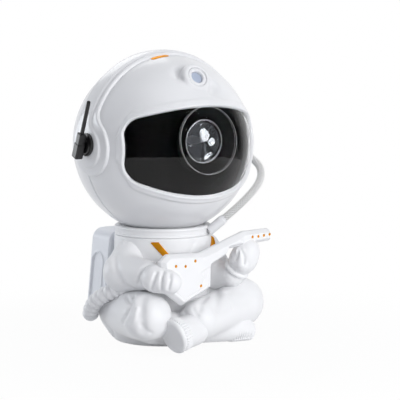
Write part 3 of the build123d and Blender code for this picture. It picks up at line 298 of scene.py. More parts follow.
def rounded_profile(corners, radius):
    """A closed profile of (distance along, radius) corners with its corners rounded."""
    made = []
    corners = np.array(corners, float)
    for index, here in enumerate(corners):
        to_before, to_after = corners[index - 1] - here, corners[(index + 1) % len(corners)] - here
        reach = min(radius, 0.45 * length(to_before), 0.45 * length(to_after))
        start, end = here + unit(to_before) * reach, here + unit(to_after) * reach
        for share in np.linspace(0, 1, 5):
            made.append((1 - share) ** 2 * start + 2 * share * (1 - share) * here + share**2 * end)
    return made


def lathe(profile, origin, direction, segments=96):
    """A closed profile of (distance along, radius) turned about an axis."""
    ring = circle(*frame_about(direction), segments)
    vertices = [origin + unit(direction) * along + ring * radius for along, radius in profile]
    return np.concatenate(vertices), grid_faces(len(profile), segments, closed=True)


def turned(corners, rounding, origin, direction, segments=96):
    return lathe(rounded_profile(corners, rounding), origin, direction, segments)


def carried_frames(points):
    """Along a line, the unit vectors along it and twice across it, with no twist."""
    tangents = unit(np.gradient(points, axis=0))
    across, _ = frame_about(tangents[0])
    acrosses = []
    for tangent in tangents:
        across = unit(across - tangent * (across @ tangent))
        acrosses.append(across)
    return tangents, np.array(acrosses), np.cross(tangents, acrosses)


def tube(points, radii, segments):
    """A round tube with closed ends, its radii varying along it."""
    _, acrosses, asides = carried_frames(points)
    rings = zip(points, radii, acrosses, asides)
    vertices = [at + radius * circle(across, aside, segments) for at, radius, across, aside in rings]
    return np.concatenate(vertices), capped_faces(len(points), segments)


# ================================================================== sculpted forms
# A form is a function that gives each point's distance from its skin, below zero inside.
def ball(p, at, radius):
    return length(p - at) - radius


def from_line(p, start, end):
    """Share of the way from start to end beside each point, and the distance from there."""
    axis = np.subtract(end, start)
    share = np.clip((p - start) @ axis / (axis @ axis), 0, 1)
    return share, length(p - start - share[:, None] * axis)


def limb(p, start, end):
    """A tapered limb between two balls, each given as (centre, radius)."""
    share, away = from_line(p, start[0], end[0])
    return away - (start[1] + (end[1] - start[1]) * share)


def merge(a, b, blend):
    """Both forms, melted together over the blend distance."""
    share = np.clip(0.5 + 0.5 * (b - a) / blend, 0, 1)
    return b + (a - b) * share - blend * share * (1 - share)


def cut(a, b, blend):
    """The first form without the second, its new edge rounded over the blend distance."""
    return -merge(-a, b, blend)


def keep_both(a, b, blend):
    """What lies in both forms."""
    return -merge(-a, -b, blend)


def ramp_step(value, width):
    """1 well inside (value below -width), 0 well outside, smooth between."""
    share = np.clip(0.5 - value / (2 * width), 0, 1)
    return share * share * (3 - 2 * share)


def crease(p, points, width, depth):
    """A soft fold line along points: cuts in where depth is above 0, swells where it is below."""
    nearest = np.min([from_line(p, *ends)[1] for ends in zip(points, points[1:])], axis=0)
    return depth * np.exp(-((nearest / width) ** 2))


def shrunk(corners, by):
    """A clockwise outline with its edges moved inwards."""
    corners = np.array(corners, float)
    ways = unit(np.roll(corners, -1, 0) - corners)
    made = []
    for corner, before, after in zip(corners, np.roll(ways, 1, 0), ways):
        inward = np.array((before[1] + after[1], -before[0] - after[0]))
        made.append(corner + by * inward / (1 + before @ after))
    return made


def line_flat(a, b, points):
    """Distance from an open flat line."""
    nearest = np.full(len(a), 1e9)
    for (from_a, from_b), (to_a, to_b) in zip(points, points[1:]):
        run, rise = to_a - from_a, to_b - from_b
        share = np.clip(((a - from_a) * run + (b - from_b) * rise) / (run * run + rise * rise), 0, 1)
        nearest = np.minimum(nearest, np.hypot(a - from_a - share * run, b - from_b - share * rise))
    return nearest


def outline_flat(a, b, corners):
    """Distance from a flat outline, below zero inside."""
    corners = [*corners, corners[0]]
    inside = np.zeros(len(a), bool)
    for (from_a, from_b), (to_a, to_b) in zip(corners, corners[1:]):
        if to_b != from_b:
            crossing = from_a + (b - from_b) * (to_a - from_a) / (to_b - from_b)
            inside ^= ((from_b > b) != (to_b > b)) & (a < crossing)
    nearest = line_flat(a, b, corners)
    return np.where(inside, -nearest, nearest)


# Cell sizes of the sculpted skins.
FINE = 0.85
SUIT_STEP = 0.8
TRIM_STEP = 0.4
TINY_STEP = 0.35
BLOCK = 8  # cells along a block's side
CHUNK = 400000


def in_chunks(form, points):
    made = [form(points[at : at + CHUNK]) for at in range(0, len(points), CHUNK)]
    return np.concatenate(made) if made else np.zeros(0)


def skin_values(form, low, step, blocks):
    """The form's value on a grid; only blocks near the skin are worked out in full."""
    side = step * BLOCK
    centres = np.stack(
        np.meshgrid(*[low[i] + side * (np.arange(blocks[i]) + 0.5) for i in range(3)], indexing="ij"), -1
    )
    rough = in_chunks(form, centres.reshape(-1, 3)).reshape(blocks)
    values = np.full([count * BLOCK + 1 for count in blocks], 1e3)
    values[:-1, :-1, :-1] = np.sign(rough).repeat(BLOCK, 0).repeat(BLOCK, 1).repeat(BLOCK, 2) * 1e3
    corner = np.stack(np.meshgrid(*[np.arange(BLOCK + 1)] * 3, indexing="ij"), -1)
    near = np.argwhere(np.abs(rough) < side * 1.2)
    index = (near[:, None, None, None, :] * BLOCK + corner[None]).reshape(-1, 3)
    values[tuple(index.T)] = in_chunks(form, low + index * step)
    return values


def sculpt(form, low, high, step):
    """A closed mesh of quads on the form's skin."""
    low = np.array(low, float)
    blocks = np.ceil((np.array(high, float) - low) / (step * BLOCK)).astype(int)
    values = skin_values(form, low, step, blocks)
    inside = values < 0
    sizes = np.array(values.shape) - 1
    corners = [(i, j, k) for i in (0, 1) for j in (0, 1) for k in (0, 1)]
    shifted = [inside[tuple(slice(at, at + size) for at, size in zip(c, sizes))] for c in corners]
    total = np.sum(shifted, axis=0)
    cells = np.argwhere((total > 0) & (total < 8))
    number = np.full(sizes, -1)
    number[tuple(cells.T)] = np.arange(len(cells))
    at_corner = {c: values[tuple((cells + c).T)] for c in corners}
    place, hits = np.zeros((len(cells), 3)), np.zeros(len(cells))
    for c in corners:
        for axis in range(3):
            if c[axis]:
                continue
            other = tuple(1 if i == axis else c[i] for i in range(3))
            a, b = at_corner[c], at_corner[other]
            crossed = (a < 0) != (b < 0)
            share = np.where(crossed, a / np.where(crossed, a - b, 1), 0)
            place += (c + share[:, None] * np.eye(3)[axis]) * crossed[:, None]
            hits += crossed
    vertices = low + (cells + place / hits[:, None]) * step
    vertices = settle(form, vertices, step)
    faces = []
    for axis in range(3):
        other = [i for i in range(3) if i != axis]
        spots = np.argwhere(np.diff(inside, axis=axis))
        beside = spots[:, other]
        spots = spots[((beside > 0) & (beside < sizes[other])).all(1)]
        quad = []
        for back in ((0, 0), (1, 0), (1, 1), (0, 1)):
            moved = spots.copy()
            moved[:, other] -= back
            quad.append(number[tuple(moved.T)])
        quad = np.stack(quad, 1)
        flipped = inside[tuple(spots.T)] ^ (axis == 1)
        quad[~flipped] = quad[~flipped][:, ::-1]
        faces.append(quad)
    faces = np.concatenate(faces)
    return relax(form, vertices, faces, step), faces


def relax(form, vertices, faces, step):
    """Evens out the quads along the skin."""
    here, there = faces.ravel(), np.roll(faces, -1, 1).ravel()
    ends, others = np.concatenate([here, there]), np.concatenate([there, here])
    count = np.maximum(np.bincount(ends, minlength=len(vertices)), 1)
    for _ in range(3):
        middle = [np.bincount(ends, vertices[others, i], len(vertices)) / count for i in range(3)]
        vertices = settle(form, (vertices + np.stack(middle, 1)) / 2, step, 1)
    return vertices


def settle(form, vertices, step, rounds=2):
    """Slides vertices onto the skin, by at most half a cell."""
    start = vertices.copy()
    small = step * 0.05
    for _ in range(rounds):
        value = in_chunks(form, vertices)
        slope = np.stack(
            [(in_chunks(form, vertices + small * np.eye(3)[i]) - value) / small for i in range(3)], 1
        )
        vertices = vertices - (value / np.maximum((slope**2).sum(1), 0.2))[:, None] * slope
        moved = vertices - start
        far = np.maximum(length(moved) / (step * 0.5), 1)
        vertices = start + moved / far[:, None]
    return vertices


# ================================================================== helmet
VISOR_HALF_WIDTH = 57.0
VISOR_TOP, VISOR_TOP_CORNER = 30.9, 20.0
VISOR_BOTTOM, VISOR_BOTTOM_CORNER = -35.3, -20.0
VISOR_CORNER_R = 9.0
VISOR_OUTER_R = 66.9
VISOR_INNER_R = 65.0
BROW_WIDTH = 6.0
BROW_PROUD = 0.9
LIP_PROUD = 0.45
POD_FACE = np.array((0.0, -47.5, 52.0))
POD_TILT = math.radians(29.0)
POD_AXIS = np.array((0.0, -math.cos(POD_TILT), math.sin(POD_TILT)))
POD_R = 11.5
POD_BORE_R = 7.6
POD_BACK = 12.0
POD_DENT_TURN = math.radians(-38.0)
BAND_HALF_WIDTH, BAND_PROUD = 11.0, 1.7
RIDGE_HALF_WIDTH, RIDGE_PROUD = 6.5, 3.0
EAR_Y, EAR_PAD_R, EAR_RIDGE_R = -5.0, 21.0, 14.0
PANEL_R, PANEL_Y, PANEL_DROP, PANEL_SEAT = 25.1, 57.5, 4.0, 2.0
SCREW_CIRCLE_R, SCREW_HOLE_R, SCREW_FLOOR_Y = 60.0, 3.4, 8.0


def arc_over(side, crown):
    """Centre height and radius of the arc through both visor corners and its crown."""
    rise = abs(crown - side)
    radius = (VISOR_HALF_WIDTH**2 + rise**2) / (2 * rise)
    return crown - math.copysign(radius, crown), radius


def round_keep(a, b, radius):
    """What lies in both, its corner a round of that radius."""
    outer = np.sqrt(np.maximum(radius + a, 0) ** 2 + np.maximum(radius + b, 0) ** 2)
    return np.minimum(-radius, np.maximum(a, b)) + outer


def visor_flat(x, z):
    """Distance from the visor's outline seen from the front."""
    top_z, top_r = arc_over(VISOR_TOP_CORNER, VISOR_TOP)
    low_z, low_r = arc_over(VISOR_BOTTOM_CORNER, VISOR_BOTTOM)
    top = np.hypot(x, z - top_z) - top_r
    low = np.hypot(x, z - low_z) - low_r
    return round_keep(np.abs(x) - VISOR_HALF_WIDTH, np.maximum(top, low), VISOR_CORNER_R)


def on_skin(p):
    return p * (HELMET_R / np.maximum(length(p), 1e-6))[:, None]


def along_skin(flat, a, b):
    """A flat outline's distance, stretched to what it is along the round skin."""
    small = 0.01
    value = flat(a, b)
    slope = ((flat(a + small, b) - value) * a + (flat(a, b + small) - value) * b) / small / HELMET_R
    return value / np.sqrt(np.maximum(1 - slope**2, 0.08))


def visor_edge(p):
    """Distance along the skin from the visor's opening, below zero inside."""
    q = on_skin(p)
    return np.where(q[:, 1] < 0, along_skin(visor_flat, q[:, 0], q[:, 2]), HELMET_R)


def pod_places(p):
    """Distance out along the laser pod's axis from its face, and away from that axis."""
    out = (p - POD_FACE) @ POD_AXIS
    return out, length(p - POD_FACE - out[:, None] * POD_AXIS)


def pod_dents(p):
    """Two shallow hollows that flank the pod."""
    side = np.array((1.0, 0.0, 0.0))
    rise = np.cross(POD_AXIS, side)
    made = 0
    for sign in (-1, 1):
        way = sign * (math.cos(POD_DENT_TURN) * side + math.sin(POD_DENT_TURN) * rise)
        middle = on_skin((POD_FACE + 14.0 * way)[None])[0]
        away = p - middle
        made = made + 2.6 * np.exp(-(((away @ way) / 4.6) ** 2) - (length(away) / 7.8) ** 4)
    return made


def helmet_skin(p):
    edge = visor_edge(p)
    brow = BROW_PROUD * ramp_step(edge - BROW_WIDTH, 1.4)
    lip = LIP_PROUD * np.exp(-(((edge - 1.2) / 1.0) ** 2))
    parting = 0.15 * np.exp(-((p[:, 1] / 0.5) ** 2))
    return length(p) - HELMET_R - brow - lip + parting + pod_dents(p)


def helmet_front(p):
    out, away = pod_places(p)
    pod = round_keep(np.maximum(away - POD_R, -out - POD_BACK - 4), out, 2.8)
    skin = merge(helmet_skin(p), pod, 1.6)
    shell = keep_both(skin, HELMET_R - HELMET_WALL - pod_dents(p) - length(p), 0.5)
    shell = cut(shell, np.maximum(away - POD_BORE_R, -out - POD_BACK - 6), 0.6)
    shell = cut(shell, visor_edge(p) * np.minimum(length(p) / HELMET_R, 1), 0.9)
    return np.maximum(shell, p[:, 1] + 0.05)


def screw_wells(p):
    """The four wells of the screws that hold the helmet's halves."""
    nearest = np.full(len(p), 1e9)
    for turn in (45, 135, 225, 315):
        x, z = (SCREW_CIRCLE_R * f(math.radians(turn)) for f in (math.cos, math.sin))
        nearest = np.minimum(nearest, np.hypot(p[:, 0] - x, p[:, 2] - z))
    return nearest


def helmet_rear(p):
    skin = helmet_skin(p)
    shell = keep_both(skin, HELMET_R - HELMET_WALL - length(p), 0.5)
    from_panel = np.hypot(p[:, 0], p[:, 2] + PANEL_DROP)
    seat = np.maximum(from_panel - PANEL_R - HELMET_WALL, PANEL_Y - PANEL_SEAT - p[:, 1])
    shell = np.minimum(shell, np.maximum(seat, length(p) - HELMET_R + 1))
    shell = cut(shell, np.maximum(from_panel - PANEL_R, PANEL_Y - p[:, 1]), 0.9)
    shell = np.maximum(shell, -np.maximum(from_panel - PANEL_R + PANEL_SEAT, 30 - p[:, 1]))
    wells = screw_wells(p)
    sleeve = np.maximum(SCREW_FLOOR_Y - 1 - p[:, 1], length(p) - HELMET_R + 0.6)
    shell = np.minimum(shell, np.maximum(wells - SCREW_HOLE_R - 1.2, sleeve))
    shell = cut(shell, np.maximum(wells - SCREW_HOLE_R, SCREW_FLOOR_Y - p[:, 1]), 0.6)
    return np.maximum(shell, 0.05 - p[:, 1])


def sculpt_head(form, low, high, step):
    """A closed mesh on a form that is given from the helmet's centre."""
    return sculpt(lambda p: form(p - HEAD), HEAD + low, HEAD + high, step)


def band_flat(half_width, pad_r, blend):
    """Distance from the band's outline seen from the side."""

    def flat(y, z):
        strap = np.maximum(np.abs(y) - half_width, -z)
        pad = np.hypot(y - EAR_Y, z) - pad_r
        return merge(strap, pad, blend)

    return flat


def headband(p):
    q = on_skin(p)
    low = along_skin(band_flat(BAND_HALF_WIDTH, EAR_PAD_R, 9.0), q[:, 1], q[:, 2])
    ridge = along_skin(band_flat(RIDGE_HALF_WIDTH, EAR_RIDGE_R, 9.0), q[:, 1], q[:, 2])
    height = -0.6 + (BAND_PROUD + 0.6) * ramp_step(low, 0.8)
    height = height + (RIDGE_PROUD - BAND_PROUD) * ramp_step(ridge, 0.9)
    height = height + 0.35 * np.exp(-(((low + 1.6) / 0.9) ** 2))
    skin = length(p) - HELMET_R - height
    return np.maximum(skin * 0.8, np.maximum(HELMET_R - 0.8 - length(p), low - 0.7))


# ================================================================== visor and lens
LENS_RISE = 5.0
WINDOW_RING_R = 24.6
WINDOW_RING_RISE = 6.0
DOME_R, DOME_HEIGHT, DOME_BACK = 15.5, 8.0, 55.0
VISOR_MIDDLE_Z = -2.0
RIM_POINTS = 240


def visor_rim(shrink):
    """Points of the visor's outline seen from the front, drawn inwards by shrink."""
    turns = np.arange(RIM_POINTS) * 2 * math.pi / RIM_POINTS
    near, far = np.zeros(RIM_POINTS), np.full(RIM_POINTS, 80.0)
    for _ in range(40):
        middle = (near + far) / 2
        inside = visor_flat(middle * np.cos(turns), middle * np.sin(turns) + VISOR_MIDDLE_Z) < -shrink
        near, far = np.where(inside, middle, near), np.where(inside, far, middle)
    return near * np.cos(turns), near * np.sin(turns)


def visor_sheet(radius, shares, rim):
    rows = []
    for share in shares:
        x, z = rim[0] * share, rim[1] * share + VISOR_MIDDLE_Z
        rows.append(np.stack([x, -np.sqrt(radius**2 - x**2 - z**2), z], 1))
    return rows


def build_visor():
    rim = visor_rim(0.15)
    shares = np.append(np.linspace(0.02, 0.96, 34), 1.0)
    rows = visor_sheet(VISOR_OUTER_R, shares, rim) + visor_sheet(VISOR_INNER_R, shares[::-1], rim)
    faces = capped_faces(len(rows), RIM_POINTS, flip=False)
    vertices = np.concatenate(rows)
    visor = on_head("visor_visual", (vertices + HEAD, faces), "visor", slot="visor_black")
    visor.data.materials.append(VISOR_BACK)
    from_head = length(vertices[[face[0] for face in faces]])
    back = (from_head < (VISOR_OUTER_R + VISOR_INNER_R) / 2).astype(int)
    visor.data.polygons.foreach_set("material_index", back)


def ring_on_sphere(name, radius, ring_r, bead_r):
    """A fine moulded bead round the window that the stars leave by; its light grey is a painted highlight.
    """
    count, sections = 144, 8
    turns = np.linspace(0, 2 * math.pi, count + 1)[:-1]
    x, z = ring_r * np.cos(turns), ring_r * np.sin(turns) + WINDOW_RING_RISE
    middle = np.stack([x, -np.sqrt(radius**2 - x**2 - z**2), z], 1)
    out = middle / radius
    aside = np.cross(out, unit(np.roll(middle, -1, 0) - np.roll(middle, 1, 0)))
    turns = np.arange(sections) * 2 * math.pi / sections
    rows = [middle + bead_r * (math.cos(turn) * out + math.sin(turn) * aside) for turn in turns]
    shape = np.concatenate(rows) + HEAD, grid_faces(sections, count, closed=True)
    on_head(name, shape, slot="lens_clear", material=RING_PAINTED_SHEEN)


def build_lens():
    lens, front, back = HEAD + (0, 0, LENS_RISE), (0, -1, 0), DOME_BACK
    ball_r = (DOME_R**2 + DOME_HEIGHT**2) / (2 * DOME_HEIGHT)
    angles = np.linspace(0.001, math.asin(DOME_R / ball_r), 28)
    dome = [(back + DOME_HEIGHT - ball_r + ball_r * math.cos(a), ball_r * math.sin(a)) for a in angles]
    dome += [(back + 0.05, DOME_R), (back + 0.05, 0.01)]
    on_head("dome_lens_visual", lathe(dome, lens, front), "dome_lens", slot="lens_clear")
    # The bead round the dome's edge: its light grey is a painted highlight.
    bead = [(back, 15.6), (back + 0.5, 15.6), (back + 0.5, 16.0), (back, 16.0)]
    bead = turned(bead, 0.2, lens, front, 120)
    on_head("dome_ring", bead, slot="lens_clear", material=RING_PAINTED_SHEEN)
    # A black liner inside the helmet behind the visor: its black is painted shade for the helmet's dark
    # inside.
    mask = [(6.6, 19.2), (12.6, 41.4), (19.6, 49.4), (29.6, 57.0), (29.0, 57.5), (19.0, 50.0),
            (12.0, 42.0), (6.0, 19.2)]
    mask = [(back - behind, radius) for behind, radius in mask]
    on_head("painted_shade_liner", lathe(mask, HEAD, front), slot="inner_black", material=FLOCK_BLACK)
    low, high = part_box("lens_hood")
    mouth_y, mouth_r = -low.y / MM, high.x / MM - 0.05
    hood = [(back, 16.3), (back + 1.0, 16.3), (mouth_y, mouth_r), (mouth_y - 1.0, mouth_r)]
    hood = turned(hood, 0.3, lens, front, 120)
    on_head("lens_hood_visual", hood, "lens_hood", slot="inner_black", material=FLOCK_BLACK)
    ring_on_sphere("window_ring_outer", VISOR_OUTER_R, WINDOW_RING_R, 0.12)
    ring_on_sphere("window_ring_inner", VISOR_INNER_R, WINDOW_RING_R - 0.2, 0.05)


# ================================================================== laser pod
BEZEL = [(-4.4, 4.6), (-1.3, 4.6), (-0.3, 5.2), (-0.3, 6.9), (-0.9, 7.5), (-4.4, 7.5)]
WINDOW = [(-5.8, 0.01), (-1.6, 0.01), (-1.9, 3.0), (-2.4, 4.5), (-4.5, 4.5), (-4.5, 7.4), (-5.8, 7.4)]

# ================================================================== antenna
ANTENNA_AT = (-6.5, HEAD_Z + 2.5)  # y and z of its pin
ANTENNA_LEAN = math.radians(23.0)


def build_antenna():
    low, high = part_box("antenna_base")
    depth, radius = (high.x - low.x) / MM, (high.z - low.z) / MM / 2
    disc = [
        (0, 2.1), (depth, 2.1), (depth, radius - 2.2), (depth - 0.9, radius - 1.6),
        (depth - 0.9, radius), (0, radius),
    ]
    hub = turned(disc, 0.5, (high.x / MM, *ANTENNA_AT), (-1, 0, 0), 72)
    on_head("antenna_hub", hub, "antenna_base", slot="antenna_black")
    outer_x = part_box("antenna_mast")[0].x / MM
    pivot = np.array((outer_x + 6.4, *ANTENNA_AT))
    up = np.array((0.0, -math.sin(ANTENNA_LEAN), math.cos(ANTENNA_LEAN)))
    ahead = np.array((0.0, -math.cos(ANTENNA_LEAN), -math.sin(ANTENNA_LEAN)))

    def slab(p, rise, half_height, half_width, back, front_at, rounding):
        q = p - pivot - rise * up
        off = np.stack([q @ up, q @ ahead, q[:, 0] + (back + front_at) / 2], 1)
        inner = np.abs(off) - (half_height, half_width, (front_at - back) / 2) + rounding
        return length(np.maximum(inner, 0)) + np.minimum(inner.max(1), 0) - rounding

    def antenna(p):
        low_block = slab(p, -4.6, 5.8, 3.3, 0.1, 6.35, 0.9)
        high_block = slab(p, 4.6, 4.8, 2.7, 0.6, 5.9, 0.8)
        waist = slab(p, 0.4, 2.6, 2.3, 0.9, 5.4, 0.4)
        body = merge(np.minimum(low_block, high_block), waist, 0.5)
        mast = limb(p, (pivot + up * 8 - (3.2, 0, 0), 1.55), (pivot + up * 34.1 - (3.2, 0, 0), 1.45))
        q = p - pivot
        pin = np.maximum(np.hypot(q[:, 1], q[:, 2]) - 1.9, np.abs(q[:, 0]) - 2.4)
        return np.minimum(merge(body, mast, 0.8), pin)

    low, high = (outer_x - 1, -26, HEAD_Z - 14), (outer_x + 10.4, 6, HEAD_Z + 40)
    mast = sculpt(antenna, low, high, TINY_STEP)
    new_piece("antenna_visual", mast, "antenna", "antenna_black", ["antenna_mast"])


# ================================================================== braided air hose
# The hose's route from the head's centre, as the CAD tube has it.
HOSE_D = 6.3

HOSE_POINTS = [
    (75.5, 0.0, -9.0),
    (79.5, -8.5, -15.0),
    (78.5, -20.0, -21.5),
    (69.5, -31.5, -29.5),
    (55.0, -39.0, -38.0),
    (41.0, -40.5, -47.5),
    (32.0, -35.5, -56.0),
]
STRANDS = 8
BRAID_PITCH = 15.0  # along the hose for one turn of a strand


def spline_object(name, points, radius):
    """A round NURBS tube along points, which are in metres."""
    data = bpy.data.curves.new(name, "CURVE")
    data.dimensions = "3D"
    data.resolution_u = 16
    data.bevel_depth = radius
    data.bevel_resolution = 4
    line = data.splines.new("NURBS")
    line.points.add(len(points) - 1)
    for point, place in zip(line.points, points):
        point.co = (*place, 1)
    line.order_u = 3
    line.use_endpoint_u = True
    return add_object(name, data)


def spline_points(piece):
    """The points that a curve with no bevel runs through, as Blender works them out."""
    bare = piece.data.copy()
    bare.bevel_depth = 0
    probe = add_object("probe", bare)
    depsgraph = bpy.context.evaluated_depsgraph_get()
    mesh = bpy.data.meshes.new_from_object(probe.evaluated_get(depsgraph))
    found = np.array([vertex.co[:] for vertex in mesh.vertices])
    bpy.data.objects.remove(probe)
    bpy.data.meshes.remove(mesh)
    return found


def strand(centre, samples, frames, index, hand):
    """One strand of the braid, wound to one hand and weaving over and under the others."""
    _, acrosses, asides = frames
    turns = samples / BRAID_PITCH * 2 * math.pi
    turn = index * 2 * math.pi / STRANDS + hand * turns
    over = np.cos(turns * STRANDS + (hand > 0) * math.pi + index * math.pi)
    out = np.cos(turn)[:, None] * acrosses + np.sin(turn)[:, None] * asides
    points = centre + out * (HOSE_D / 2 - 0.42 + 0.12 * over)[:, None]
    flat = np.cross(out, unit(np.gradient(points, axis=0)))
    sides = np.arange(6) * math.pi / 3
    ring = [points + flat * 0.36 * math.cos(a) + out * 0.2 * math.sin(a) for a in sides]
    return np.stack(ring, 1).reshape(-1, 3), capped_faces(len(points), 6)


def build_hose():
    route = [tuple(float(c) * MM for c in HEAD + np.array(point)) for point in HOSE_POINTS]
    core = spline_object("air_hose_core", route, (HOSE_D / 2 - 0.55) * MM)
    core.data.materials.append(HOSE_CORE)
    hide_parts("air_hose")
    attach(core, "head")
    line = spline_points(core) / MM
    distance = np.concatenate([[0], np.cumsum(length(np.diff(line, axis=0)))])
    samples = np.linspace(0, distance[-1], int(distance[-1] / 0.9))
    centre = np.stack([np.interp(samples, distance, line[:, i]) for i in range(3)], 1)
    frames = carried_frames(centre)
    parts = [strand(centre, samples, frames, i, hand) for hand in (-1, 1) for i in range(STRANDS)]
    braid = on_head("air_hose_braid", join_parts(parts), slot="hose_braid")


def build_sockets():
    """Slim sleeves that hold the hose's ends."""
    parts = []
    for root, first, second in (
        ((66.0, 6.0, -2.0), HOSE_POINTS[0], HOSE_POINTS[1]),
        ((26.5, -27.5, -50.0), HOSE_POINTS[-1], HOSE_POINTS[-2]),
    ):
        first = np.array(first)
        reach = length(root - first) + 3.0
        profile = [(-0.8, 3.05), (reach, 3.05), (reach, 3.7), (1.2, 3.7), (0.8, 3.4), (-0.8, 3.3)]
        parts.append(turned(profile, 0.3, HEAD + first, first - second, 48))
    on_head("hose_sockets_visual", join_parts(parts), "hose_sockets")


# ================================================================== suit
FLOOR_GAP = 1.0
DECK_Z = 76.0
SPLIT_Y = 12.0
SKIRT_TOP_Z = 81.8  # the chest rises round the collar's foot to here
COLLAR_SEAT_R = 34.5
TORSO_HEIGHTS = (0, 20, 50, 66, 76, 82)
TORSO_RADII = (35.5, 39, 34, 36.8, 37.0, 36.7)
RIGHT_HIP, RIGHT_KNEE = ((-26, 13, 24), 20.5), ((-43, -45, 28), 18.0)
RIGHT_SHIN, RIGHT_ANKLE = ((-35, -41, 18), 12.5), ((33, -42, 11), 10.0)
UNDER_KNEE = ((-60, -43, 2), 9.0), ((-26, -54, 3), 9.5)  # hollow below the right knee
LEFT_HIP, LEFT_KNEE = ((25, 12, 23), 19.5), ((54, -27, 28), 16.5)
LEFT_SHIN, LEFT_ANKLE = ((46, -33, 27), 16.0), ((-3, -54, 23), 15.0)
RIGHT_SHOULDER, RIGHT_ELBOW = ((-31.5, -5, 66.5), 14.0), ((-44, -14, 57), 14.5)
RIGHT_WRIST = (-40, -41, 58), 11.0
LEFT_SHOULDER, LEFT_ELBOW, LEFT_WRIST = ((34, -6, 68), 12.5), ((39, -21, 48), 11.5), ((39, -37, 51), 9.5)
RIGHT_PALM, RIGHT_KNUCKLES = ((-40, -52, 57), 10.5), ((-35, -63, 55), 8.5)
LEFT_PALM, LEFT_KNUCKLES = ((42.5, -45, 62), 10.5), ((46, -47, 70), 9.0)
RIGHT_HEEL, RIGHT_TOE = ((35, -42, 11), 10.0), ((46, -43, 9), 8.5)
LEFT_HEEL, LEFT_TOE = ((-12, -58, 17), 11.8), ((-29, -63, 16), 12.6)
TRUNK_R = 36.0  # turns an angle round the trunk into a distance round it
# The chest's raised panel, as (distance round the trunk, height).
BIB = [(-3.6, 68.0), (5.4, 79.0), (23.0, 79.0), (23.0, 58.0), (-3.6, 58.0)]


def round_trunk(p):
    return np.arctan2(p[:, 0], -p[:, 1]) * TRUNK_R


def torso(p):
    curve = np.polyfit(TORSO_HEIGHTS, TORSO_RADII, 5)
    radius = np.polyval(curve, np.clip(p[:, 2], 0, SKIRT_TOP_Z))
    radius = radius + 0.8 * ramp_step(outline_flat(round_trunk(p), p[:, 2], BIB), 1.3)
    out = np.hypot(p[:, 0], p[:, 1])
    trunk = round_keep(out - radius, p[:, 2] - SKIRT_TOP_Z, 0.9)
    return np.maximum(trunk, -np.maximum(out - COLLAR_SEAT_R, DECK_Z - p[:, 2]))


# Folds of the suit as (points, width, depth): a negative depth swells.
BODY_FOLDS = [
    ([(-50.0, -27.5, 41.4), (-52.7, -34.6, 40.1), (-56.3, -44.6, 39.7)], 1.6, 2.0),
    ([(-50.1, -38.8, 42.3), (-55.5, -44.6, 40.0)], 1.5, 1.6),
    ([(-57.4, -46.4, 38.3), (-59.9, -44.8, 30.9), (-59.2, -36.8, 24.4)], 1.9, 1.8),
    ([(-56.2, -52.5, 36.9), (-59.0, -52.9, 28.5), (-59.8, -48.7, 23.5)], 1.5, -0.7),
    ([(-49.9, -50.7, 42.6), (-55.1, -56.2, 32.2), (-53.9, -56.9, 21.3)], 3.6, 1.8),
    ([(-55.3, -56.5, 25.0), (-52.2, -58.3, 20.6), (-48.7, -59.5, 18.9)], 1.4, 0.8),
    ([(33.7, -24.4, 40.8), (13.6, -53.2, 38.4), (4.0, -64.3, 32.0)], 2.8, 2.2),
    ([(26.2, -48.2, 39.5), (25.9, -53.8, 35.8), (22.4, -58.8, 30.1)], 1.7, 1.4),
    ([(5.1, -51.1, 38.9), (-5.3, -59.7, 36.7), (-9.7, -63.5, 32.5)], 2.2, 1.2),
    ([(-16.2, -53.6, 30.1), (-16.2, -60.2, 26.7), (-16.1, -61.3, 22.4)], 1.5, 1.1),
    ([(-12.5, -60.0, 33.0), (-12.1, -64.6, 28.4)], 1.4, 0.9),
    ([(-45.3, 9, 14.2), (-43.6, 3.1, 10.4), (-40, 4.8, 5.9)], 2.5, 0.7),
    (
        [(-15.4, -33.7, 69.8), (-4.1, -36.8, 69.3), (0.7, -37.6, 72.8), (3.7, -37.1, 77.0),
         (6.6, -36.8, 78.6), (14.3, -34.9, 77.8)], 1.0, 0.7,
    ),
]
SLEEVE_FOLDS = [
    ([(-44.4, -48.8, 64.5), (-48.1, -45.2, 61.4), (-49.8, -42.5, 54.6)], 1.8, 2.2),
    ([(-52.1, -15.5, 69.8), (-55.9, -24.6, 59.4), (-52.8, -29.2, 50.8), (-47.5, -33.2, 47.2)], 3.0, 1.7),
    (
        [(-43.9, -15, 78), (-38.3, -3.0, 79.2), (-30.1, -5.4, 78.9), (-27, -12, 76), (-28, -17, 71),
         (-30, -19.5, 65)], 1.2, -0.8,
    ),
    ([(-47, -14, 74), (-38.3, -8.0, 80), (-31, -9, 79.5), (-29.5, -13.5, 76), (-31, -18, 71)], 1.0, 0.6),
    ([(-30, -21, 66), (-37, -22, 67), (-44, -20, 68)], 1.0, 0.8),
]
HAND_FOLDS = [
    ([(-44.8, -60.2, 62.4), (-47.3, -60.0, 56.8), (-46.9, -56.7, 50.4)], 1.2, 1.5),
    ([(-40.6, -63.0, 63.1), (-43.8, -65.3, 55.7), (-42.9, -63.8, 50.4)], 1.2, 1.5),
    ([(-37.5, -67.0, 62.0), (-39.0, -69.7, 58.1), (-40.1, -68.8, 51.5)], 1.2, 1.4),
]
MITTEN_FOLDS = [
    ([(35.0, -50.0, 73.5), (34.4, -50.9, 69.0), (33.1, -49.9, 64.4)], 1.3, 1.4),
    ([(36.2, -50.6, 73.9), (37.1, -54.6, 66.0), (37.0, -54.0, 61.0)], 1.2, 1.2),
]


def folds(p, table):
    return sum(crease(p, *fold) for fold in table)


def folded(form, p, table):
    """A form with folds, worked out near its skin alone."""
    near = np.abs(form) < 6
    form[near] = form[near] + folds(p[near], table)
    return form


